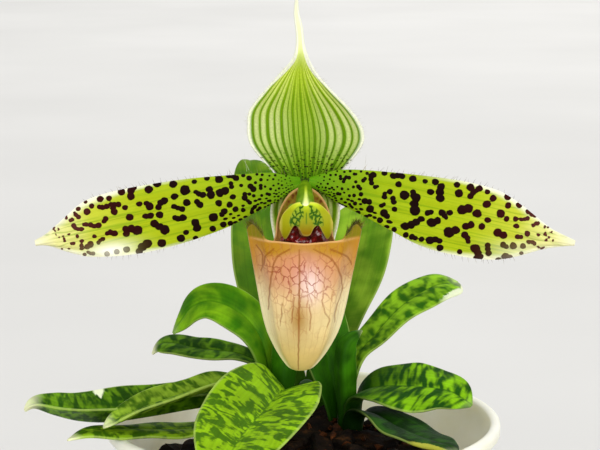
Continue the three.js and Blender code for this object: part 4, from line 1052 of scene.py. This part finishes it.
def lip_point(v, turn):
    """The lip's outside: v 0..1 climbs from the toe to the rim, and turn 0..1 goes round it."""
    right = [(LIP_MIDDLE + x, y, z) for x, y, z in RIM_HALF]
    left = [(LIP_MIDDLE - x, y, z) for x, y, z in RIM_HALF[1:-1]][::-1]
    edge = Line(right + left, closed=True).at(turn % 1)
    facing = np.cos(2 * math.pi * turn)
    swell = 4.6 * np.sin(math.pi * v**0.85) * facing * np.where(facing > 0, 1, 0.4)
    spread = POUCH_SPREAD(v)
    x = LIP_TOE[0] + (edge[:, 0] - LIP_TOE[0]) * spread
    y = LIP_TOE[1] + (edge[:, 1] - LIP_TOE[1]) * spread - swell
    return np.stack([x, y, LIP_TOE[2] + (edge[:, 2] - LIP_TOE[2]) * v], 1)


def vein_field(points):
    """How near each point of the pouch's front is to the middle of a brown vein, 0 to 1."""
    front = points[:, 1] < -46
    field = np.zeros(len(points))
    share_along = np.linspace(0, 1, 26)
    girths = 0.3 + 0.42 * np.sin(math.pi * (0.2 + 0.72 * share_along))
    for vein in LIP_VEINS:
        # The short strokes low on the pouch are fainter.
        weight = 0.9 if vein[0][1] < 134 else 1
        steps = Line([(a, 0, b) for a, b in vein]).along(share_along)[:, [0, 2]]
        steps[:, 0] += 0.07 * np.sin(2.3 * steps[:, 1] + 5 * steps[0, 0])
        for (x, z), step, girth in zip(steps, np.diff(steps, axis=0), girths):
            across, up = points[:, 0] - x, points[:, 2] - z
            share = np.clip((across * step[0] + up * step[1]) / (step @ step), 0, 1)
            away = np.hypot(across - share * step[0], up - share * step[1])
            field = np.maximum(field, np.where(front, weight * (1 - away / girth), 0))
    return field


def make_lip():
    # The grid's rows crowd a little towards the toe.
    climb = lambda s: ((s + 1) / 2) ** 1.15
    surface = lambda u, s: lip_point(climb(s), u)
    girth, height = 75, 34
    sizes = lambda u, s: (u * girth, (s + 1) / 2 * height)
    piece, u, s = laid_grid("lip_pouch", 300, 130, surface, sizes)
    points = surface(u, s)
    x, y, z = points.T
    from_rim = (1 - climb(s)) * 30
    sideways = np.abs(x - LIP_MIDDLE)
    forward = smooth(-y, 45, 48)
    turned_away = 1 - np.abs(np.cos(2 * math.pi * u)) ** 0.5

    def around(at, reach):
        return np.exp(-(((x - at[0]) / reach[0]) ** 2) - ((z - at[1]) / reach[1]) ** 2) * forward

    below_rim = smooth(-from_rim, -2 - 0.3 * sideways, -0.9 - 0.2 * sideways)
    net_zone = around((-0.4, 138.6), (14, 7)) + 0.25 * around((0, 127), (7, 6))
    painted(
        piece,
        vein=vein_field(points),
        # The upper flanks' ochre, with painted shade where they turn away.
        flank=0.8 * smooth(turned_away, 0.08, 0.5) * smooth(z, 133, 143),
        # Painted light that pales the lower flanks.
        buff=0.85 * smooth(turned_away, 0.06, 0.45) * (1 - smooth(z, 128, 141)),
        blush=0.7 * around((-1, 139.5), (7.8, 4.6)),
        # A painted highlight on the front, right of the middle.
        bloom=0.7 * around((1.6, 136), (2.8, 4)),
        smear=0.8 * around((-1.2, 128.6), (2.4, 4.8)),
        ochre=(0.95 - 0.4 * np.exp(-((x / 2.4) ** 2))) * below_rim * forward,
        ear=smooth(z, 146, 146.8) * smooth(sideways, 7, 9),
        # A painted highlight along the ears' fold.
        fold=0.7 * np.exp(-(((z - 146.1) / 0.25) ** 2)) * smooth(sideways, 6, 8) * forward,
        netted=np.clip(net_zone, 0, 1) * 0.9,
        gutter=0.85 * smooth(z, 146, 149) * (y > -43) * (1 - smooth(from_rim, 1.2, 3)),
        rim=smooth((s + 1) / 2, 0.85, 1),
    )
    closed_up(piece, outwards=False)
    near_rim = np.array([value.value for value in piece.data.attributes["rim"].data])
    thickened(piece, LIP_WALL * (1 - 0.55 * near_rim), offset=-1)
    placed(piece, [lip_finish(), lip_lining_finish()], "lip", "pouched_lip")
    make_side_lobes()
    draw = random.Random(31)
    fringe = []
    for side in (-1, 1):
        for _ in range(120):
            k = draw.uniform(3.6, 6.8) / 30
            base = lip_point(np.array([1.0]), np.array([k if side > 0 else 1 - k]))[0]
            way = (side * draw.uniform(-0.3, 0.7), draw.uniform(-0.8, 0.1), draw.uniform(0.4, 1))
            fringe.append((base, way, draw.uniform(0.8, 2.5), (0.1 * side, 0, 0)))
    hairs("lip_hairs", fringe, 0.09, "lip", ("lip_hair", "#38380A", "#7A7418"))


def make_side_lobes():
    """The dark folded lobes below the shield: eggs run together and covered in warts."""
    eggs = [((0, -41.6, 144.3), (3.8, 1.7, 1.4))]
    for side in (-1, 1):
        eggs.append(((side * 3, -41.8, 146.2), (1.9, 1.7, 2.6)))
        eggs.append(((side * 4.2, -40.8, 144), (1.7, 1.6, 1.6)))
    piece = fused_eggs("lip_side_lobes", eggs, 0.28)
    for vertex in piece.data.vertices:
        distances, _ = noise.voronoi(vertex.co / (1.15 * MM))
        vertex.co += vertex.normal * (0.32 - 0.6 * min(0.55, distances[0])) * MM
    placed(piece, [lobe_finish()], "lip", "pouched_lip")


def fused_eggs(name, eggs, voxel, extra=()):
    """Eggs and tubes run together into one skin. Each egg is (middle, half-lengths)."""
    parts = list(extra)
    for (x, y, z), halves in eggs:
        bpy.ops.mesh.primitive_uv_sphere_add(segments=24, ring_count=16, radius=1)
        part = bpy.context.object
        part.scale = [half * MM for half in halves]
        part.location = [(LIP_MIDDLE + x) * MM, y * MM, z * MM]
        parts.append(part)
    piece = joined(name, parts)
    modified(piece, "REMESH", mode="VOXEL", voxel_size=voxel * MM)
    modified(piece, "SMOOTH", factor=0.5, iterations=4)
    return piece


# The shield's upper and lower edge, in mm above its middle, from its middle out to its side.
SHIELD_TOP = profile([(0, 4.4), (0.4, 4), (0.7, 2.8), (0.9, 1.2), (1, -0.8)])
SHIELD_BOTTOM = profile([(0, -3.4), (0.14, -3.1), (0.25, -1.7), (0.37, -0.95), (0.5, -1.2), (0.63, -2.8),
                         (0.75, -4.15), (0.82, -4.1), (0.9, -3.2), (1, -1.4)])


def make_shield():
    x, y, z = SHIELD["middle"]

    def height_at(u, s):
        out = np.abs(2 * u - 1)
        return SHIELD_BOTTOM(out) + (SHIELD_TOP(out) - SHIELD_BOTTOM(out)) * (s + 1) / 2

    def surface(u, s):
        out, height = 2 * u - 1, height_at(u, s)
        depth = SHIELD["dome"] * (out * out + 0.05 * height * height) + SHIELD["lean"] * height
        groove = 0.1 * np.exp(-((out * SHIELD["half_width"] / 0.8) ** 2)) * smooth(height, -4, 0)
        return np.stack([x + out * SHIELD["half_width"], y + depth + groove, z + height], 1)

    sizes = lambda u, s: ((2 * u - 1) * SHIELD["half_width"], height_at(u, s))
    piece, u, s = laid_grid("netted_shield", 64, 24, surface, sizes)
    painted(piece, edge=0.8 * smooth(np.maximum(np.abs(s), np.abs(2 * u - 1)), 0.84, 0.97))
    thickened(piece, PETAL_THICKNESS, material_offset=0)
    modified(piece, "SUBSURF", levels=1, render_levels=1)
    placed(piece, [shield_finish()], "column", "shield")


def tube(name, points, radius, around, steps, lobes=0, depth=0.0):
    """A tube with round ends, whose radius in mm changes along its line, with ribs if asked."""
    line = Line(points)
    frame_at = frames_along(line, np.array([1.0, 0, 0]))

    def surface(u, s):
        across, up = frame_at(u)
        end = np.minimum(u, 1 - u) * line.length
        size = radius(u)
        closing = np.sqrt(np.clip(1 - (1 - np.clip(end / size, 0, 1)) ** 2, 0, 1))
        angle = math.pi * (s + 1)
        out = (size * closing * (1 + depth * np.cos(lobes * angle)))[:, None]
        return line.along(u) + out * (across * np.cos(angle)[:, None] + up * np.sin(angle)[:, None])

    sizes = lambda u, s: (u * line.length, s * radius(u) * math.pi)
    piece, _, _ = laid_grid(name, steps, around, surface, sizes)
    closed_up(piece)
    return piece, surface


def make_column():
    x, y, z = HEART
    rib = [(x, y, z - 0.6), (x, y - 4, z - 1.6), (x, y - 8, z - 3), (x, y - 12.6, z - 5.4)]
    core, _ = tube("core", rib, varying(1.5, 1.8, 2.2, 2.4), 24, 40)
    eggs = [((side * 2.4 - 0.2, y - 9.6, z - 5.4), (1.4, 1.2, 1.6)) for side in (-1, 1)]
    eggs.append(((-0.2, y - 9.4, z - 7), (2, 1.6, 1.4)))
    placed(fused_eggs("bloom_column", eggs, 0.25, [core]), [column_finish()], "column", "column")


SCAPE_RIB = [(-6, 3.2, 98), (-5, 6, 106), (-3, 8.4, 118), (-1.4, 7, 128), (-0.6, 3.6, 133.6)]
OVARY_RIB = [(-0.2, 1.6, 136), (0.1, -7, 146), (0.2, -17, 153.4), (0.3, -27.4, 156.4)]


def down(surface, count, draw, length, reach):
    """Straight hairs scattered over a tube's surface."""
    u = np.array([draw.uniform(0.03, 0.97) for _ in range(count)])
    s = np.array([draw.uniform(-1, 1) for _ in range(count)])
    base = surface(u, s)
    middle = (surface(u, s + 0.5) + surface(u, s - 0.5) + surface(u, s + 1) + base) / 4
    stray = np.array([[draw.uniform(-reach, reach) for _ in range(3)] for _ in range(count)])
    lengths = [length * draw.uniform(0.5, 1.1) for _ in range(count)]
    return list(zip(base, unit(base - middle) + stray, lengths, np.zeros((count, 3))))


def make_stalk():
    draw = random.Random(47)
    scape, scape_surface = tube("flower_stalk", SCAPE_RIB, varying(2.3, 2, 1.9, 1.9), 32, 60, 7, 0.03)
    placed(scape, [stalk_finish("stalk_skin", "#3C2618", "#6B5A34", 22.0)], "flower_stalk", "scape")
    ovary, ovary_surface = tube("ribbed_ovary", OVARY_RIB, varying(1.7, 2.4, 2.7, 2.3, 2.5), 48, 60, 6, 0.07)
    placed(ovary, [stalk_finish("ovary_skin", "#5E7A22", "#8BA548", 18.0)], "ovary", "ovary")
    half_width = profile([(0, 3.6), (0.3, 5.6), (0.7, 4), (1, 0.5)])
    surface, length = blade_surface({
        "rib": [(0, 8, 128.5), (0.2, 6.4, 134), (0.3, 2.4, 142), (0.3, -1, 150)], "side": (1, 0, 0),
        "half_width": half_width, "fold": varying(20, 30, 24), "curl": varying(80, 60, 30),
        "roll": lambda u: 0 * u, "wave": 0.2, "phase": 0.1,
    })
    sizes = lambda u, s: (u * length, s * half_width(u))
    piece, u, s = laid_grid("bract_sheath", 48, 20, surface, sizes)
    thickened(piece, PETAL_THICKNESS * (1 - 0.5 * s * s), material_offset=0)
    modified(piece, "SUBSURF", levels=1, render_levels=1)
    placed(piece, [stalk_finish("bract_skin", "#6E8A2C", "#A3B85C", 26.0)], "bract", "bract")
    strands = down(scape_surface, 700, draw, 1.1, 0.3) + down(ovary_surface, 600, draw, 0.9, 0.3)
    hairs("stalk_hairs", strands, 0.045, "flower_stalk", ("stalk_hair", "#3A1E1C", "#8E7A5C"))


# The pot, its filling and the roots.


def bore_radius(z):
    foot, top = POT["foot"] - POT["wall"], POT["rim"] - POT["lip_width"]
    return foot + (top - foot) * z / POT["height"]


def turned(name, outline, sides):
    """A turned piece: a ring is set at the outline's second point and extruded on to the others.
    The outline is (radius, height) pairs that start and end on the axis."""
    bpy.ops.object.select_all(action="DESELECT")
    radius, height = outline[1]
    bpy.ops.mesh.primitive_circle_add(vertices=sides, radius=radius * MM, fill_type="NGON")
    piece = named(name)
    for vertex in piece.data.vertices:
        vertex.co.z = height * MM
    bpy.ops.object.mode_set(mode="EDIT")
    bpy.ops.mesh.select_mode(type="FACE")
    bpy.ops.mesh.select_all(action="SELECT")
    for (r, z), (next_r, next_z) in zip(outline[1:-2], outline[2:-1]):
        bpy.ops.mesh.extrude_region_move()
        bpy.ops.transform.translate(value=(0, 0, (next_z - z) * MM))
        bpy.ops.transform.resize(value=(next_r / r, next_r / r, 1), center_override=(0, 0, next_z * MM))
    bpy.ops.mesh.select_all(action="SELECT")
    bpy.ops.mesh.normals_make_consistent(inside=False)
    bpy.ops.object.mode_set(mode="OBJECT")
    return piece


def make_pot():
    height, rim, lip, foot, floor = (POT[name] for name in ("height", "rim", "lip_width", "foot", "floor"))
    lip_foot, wall = height - POT["lip_height"], POT["wall"]
    outline = [(0, 0), (foot - 1.4, 0), (foot - 0.4, 0.3), (foot, 1.2)]
    outline += [(bore_radius(z) + wall, z) for z in (12, 30, 50, 70, lip_foot - 1.2)]
    outline += [(bore_radius(lip_foot) + wall, lip_foot - 0.1), (rim - 0.5, lip_foot + 0.2)]
    outline += [(rim, lip_foot + 0.8)]
    for k in range(9):
        angle = math.pi * k / 8
        outline.append((rim - lip / 2 + lip / 2 * math.cos(angle), height - 1 + 1.0 * math.sin(angle)))
    outline += [(bore_radius(z), z) for z in (lip_foot - 1, 70, 50, 30, 12, floor + 2.5)]
    outline += [(bore_radius(floor) - 0.8, floor + 0.5), (bore_radius(floor) - 2, floor), (0, floor)]
    pot = turned("pot_shell", outline, 128)
    ring, radius = DRAIN["ring"] * MM, DRAIN["radius"] * MM
    for k in range(DRAIN["holes"]):
        angle = 2 * math.pi * (k + 0.5) / DRAIN["holes"]
        at = (ring * math.cos(angle), ring * math.sin(angle), 0)
        bpy.ops.mesh.primitive_cylinder_add(vertices=32, radius=radius, depth=20 * MM, location=at)
        drill = bpy.context.object
        modified(pot, "BOOLEAN", operation="DIFFERENCE", solver="EXACT", object=drill)
        bpy.data.objects.remove(drill)
    placed(pot, [pot_finish()], "pot_plastic", "pot")


MOUND_FOOT = MOUND["top"] - MOUND["drop"]
MOUND_EDGE = bore_radius(MOUND_FOOT) - 0.35


def mound_height(x, y):
    return MOUND["top"] - MOUND["drop"] * (np.hypot(x, y) / MOUND_EDGE) ** 2


def scattered(count, edge, stray, draw):
    """Places spread evenly over a round bed, as (number, x, y)."""
    golden_angle = 2.4
    for k in range(count):
        reach = math.sqrt((k + 0.5) / count) * edge
        angle = golden_angle * k + draw.uniform(-stray, stray)
        yield k, reach * math.cos(angle), reach * math.sin(angle)


def make_mix():
    # The top runs out to the wall, then come the side and the flat floor, at these shares of u.
    wall_at, floor_at = 0.7, 0.92
    stem_room = 7

    def surface(u, s):
        angle, on_top = math.pi * s, u < wall_at
        side = np.interp(u, (wall_at, floor_at, 1), (MOUND_EDGE, bore_radius(POT["floor"]) - 2.35, 0))
        r = np.where(on_top, MOUND_EDGE * np.sqrt(np.clip(u / wall_at, 0, 1)), side)
        x, y = r * np.cos(angle), r * np.sin(angle)
        rough = np.array([noise.noise((a * 0.22, b * 0.22, 3.0)) for a, b in zip(x, y)])
        top = mound_height(x, y) + 1.3 * rough * smooth(u, 0, 0.05) * smooth(wall_at - u, 0, 0.1)
        low = np.interp(u, (wall_at, floor_at), (MOUND_FOOT, POT["floor"] + 0.35))
        return np.stack([x, y, np.where(on_top, top, low)], 1)

    mound, _, _ = laid_grid("bark_mound", 90, 128, surface)
    closed_up(mound)
    placed(mound, [bark_finish("bark_fines", "#040201", "#100A05", "#2A1A0C")], "bark_mix", "potting_mix")
    draw = random.Random(7)
    originals = []
    for _ in range(5):
        bpy.ops.mesh.primitive_cube_add(size=2 * MM)
        chip = bpy.context.object
        chip.scale = (draw.uniform(4, 6.5), draw.uniform(2.8, 4), draw.uniform(1.4, 2.4))
        bpy.ops.object.transform_apply()
        modified(chip, "BEVEL", width=0.7 * MM, segments=1)
        modified(chip, "SUBSURF", levels=2, render_levels=2, subdivision_type="SIMPLE")
        offset = draw.uniform(0, 90)
        for vertex in chip.data.vertices:
            at = vertex.co / (4 * MM)
            at.x += offset
            vertex.co += vertex.normal * noise.fractal(at, 0.8, 2.2, 3) * 0.9 * MM
        originals.append(chip)
    chips = []
    for k, x, y in scattered(78, MOUND_EDGE - 5, 0.2, draw):
        if min(math.hypot(x - a, y - b) for a, b, _, _ in STEMS.values()) < stem_room:
            continue
        chip = originals[k % len(originals)].copy()
        chip.data = chip.data.copy()
        bpy.context.scene.collection.objects.link(chip)
        chip.location = (x * MM, y * MM, (float(mound_height(x, y)) + draw.uniform(0, 1.2)) * MM)
        chip.rotation_euler = (draw.uniform(-0.5, 0.5), draw.uniform(-0.5, 0.5), draw.uniform(0, 6.28))
        chips.append(chip)
    for chip in originals:
        bpy.data.objects.remove(chip)
    piece = joined("bark_chips", chips)
    placed(piece, [bark_finish("bark_plates", "#060302", "#1A1007", "#4C2E12")], "bark_mix", "potting_mix")
    make_crumbs(draw)


def make_crumbs(draw):
    """Broken bits of bark between the chips, 1 to 3 mm across, some with a fresh brown face."""
    bpy.ops.mesh.primitive_ico_sphere_add(subdivisions=1, radius=MM)
    crumb = bpy.context.object
    corners = [vertex.co / MM for vertex in crumb.data.vertices]
    sides = [tuple(face.vertices) for face in crumb.data.polygons]
    bpy.data.objects.remove(crumb)
    points, faces = [], []
    for k, x, y in scattered(300, MOUND_EDGE - 3, 0.5, draw):
        size = draw.uniform(0.5, 1.5)
        shape = [size * draw.uniform(0.6, 1.4) for _ in range(3)]
        middle = (x, y, float(mound_height(x, y)) + draw.uniform(0.6, 2.2))
        faces += [tuple(len(points) + corner for corner in side) for side in sides]
        for co in corners:
            swell = 1 + 0.8 * noise.noise((co.x + k, co.y, co.z))
            points.append([middle[i] + co[i] * shape[i] * swell for i in range(3)])
    piece = from_faces("bark_crumbs", points, faces)
    placed(piece, [bark_finish("bark_crumb", "#0A0502", "#4A260C", "#A05C24")], "bark_mix")


def make_roots():
    straight = lambda a, b, r: tube("stem", [a, b], lambda u: r + 0 * u, 20, 24)[0]
    feet = {name: (x, y, RHIZOME["z"]) for name, (x, y, _, _) in STEMS.items()}
    parts = [straight(feet[name], (x, y, top), radius) for name, (x, y, top, radius) in STEMS.items()]
    parts += [straight(feet[name], feet["right"], RHIZOME["radius"]) for name in ("left", "back")]
    for k in range(6):
        angle = 2 * math.pi * (k + 0.4) / 6
        out = lambda r, z: (3 + r * math.cos(angle), 11 + r * math.sin(angle), z)
        points = [feet["right" if k % 2 else "left"], out(13, 68), out(19, 48), out(16, 26), out(19, 12)]
        parts.append(tube("root", points, lambda u: 2.1 * (1 - 0.35 * u), 16, 60)[0])
    piece = joined("root_mass", parts)
    modified(piece, "REMESH", mode="VOXEL", voxel_size=0.6 * MM)
    placed(piece, [root_finish()], "root", "rootstock")


# The stage. Each lamp has a place and a size in metres and a power in watts.
LAMPS = {
    "key": ((-1.3, -4.0, 2.6), 1.8, 90),
    "fill": ((2.8, -3.0, 2.2), 2.4, 76),
    "front": ((0.3, -3.6, 0.9), 1.2, 26),
    "rim": ((0.9, 3.4, 3.4), 2.4, 120),
}
LAMP_AIM = np.array([0, -0.03, 0.12])
SKY = {"colour": (0.86, 0.88, 0.9, 1), "strength": 0.62}
# The camera looks 10 degrees down from half a metre, as the photograph's did.
CAMERA = {"at": (-0.0009, -0.5086, 0.2307), "tilt": 80, "lens": 120, "sensor": 36}


def make_stage():
    bpy.ops.mesh.primitive_plane_add(size=14)
    floor = bpy.context.object
    floor.name = "floor"
    board = Finish("painted_board", 1.5, 0.2)
    clouds = board.node("TexNoise", board.node("TexCoord").outputs["Object"], Scale=3.0, Detail=3.0)
    ground = board.node("ValToRGB", [(0.3, "#D2D0CC"), (0.7, "#D8D6D2")], clouds)
    floor.data.materials.append(board.wired(ground, [], (clouds, 0.7, 0.8), clouds, 0.0001))
    for name, (at, size, power) in LAMPS.items():
        bpy.ops.object.light_add(type="AREA", location=at)
        lamp = bpy.context.object
        lamp.name = name
        lamp.data.size = size
        lamp.data.energy = power
        x, y, z = LAMP_AIM - at
        lamp.rotation_euler = (math.atan2(math.hypot(x, y), -z), 0, math.atan2(y, x) - math.pi / 2)
        lamp.visible_camera = False
        lamp.visible_glossy = name != "rim"
    scene = bpy.context.scene
    scene.world = bpy.data.worlds.new("studio")
    scene.world.use_nodes = True
    sky = scene.world.node_tree.nodes["Background"].inputs
    sky["Color"].default_value = SKY["colour"]
    sky["Strength"].default_value = SKY["strength"]
    scene.view_settings.view_transform = "Standard"
    camera = bpy.data.objects.new("camera", bpy.data.cameras.new("camera"))
    scene.collection.objects.link(camera)
    camera.location = CAMERA["at"]
    camera.rotation_euler = (math.radians(CAMERA["tilt"]), 0, 0)
    camera.data.lens = CAMERA["lens"]
    camera.data.sensor_width = CAMERA["sensor"]
    scene.camera = camera


make_leaves()
make_petals()
make_sepals()
make_lip()
make_shield()
make_column()
make_stalk()
make_pot()
make_mix()
make_roots()
make_stage()
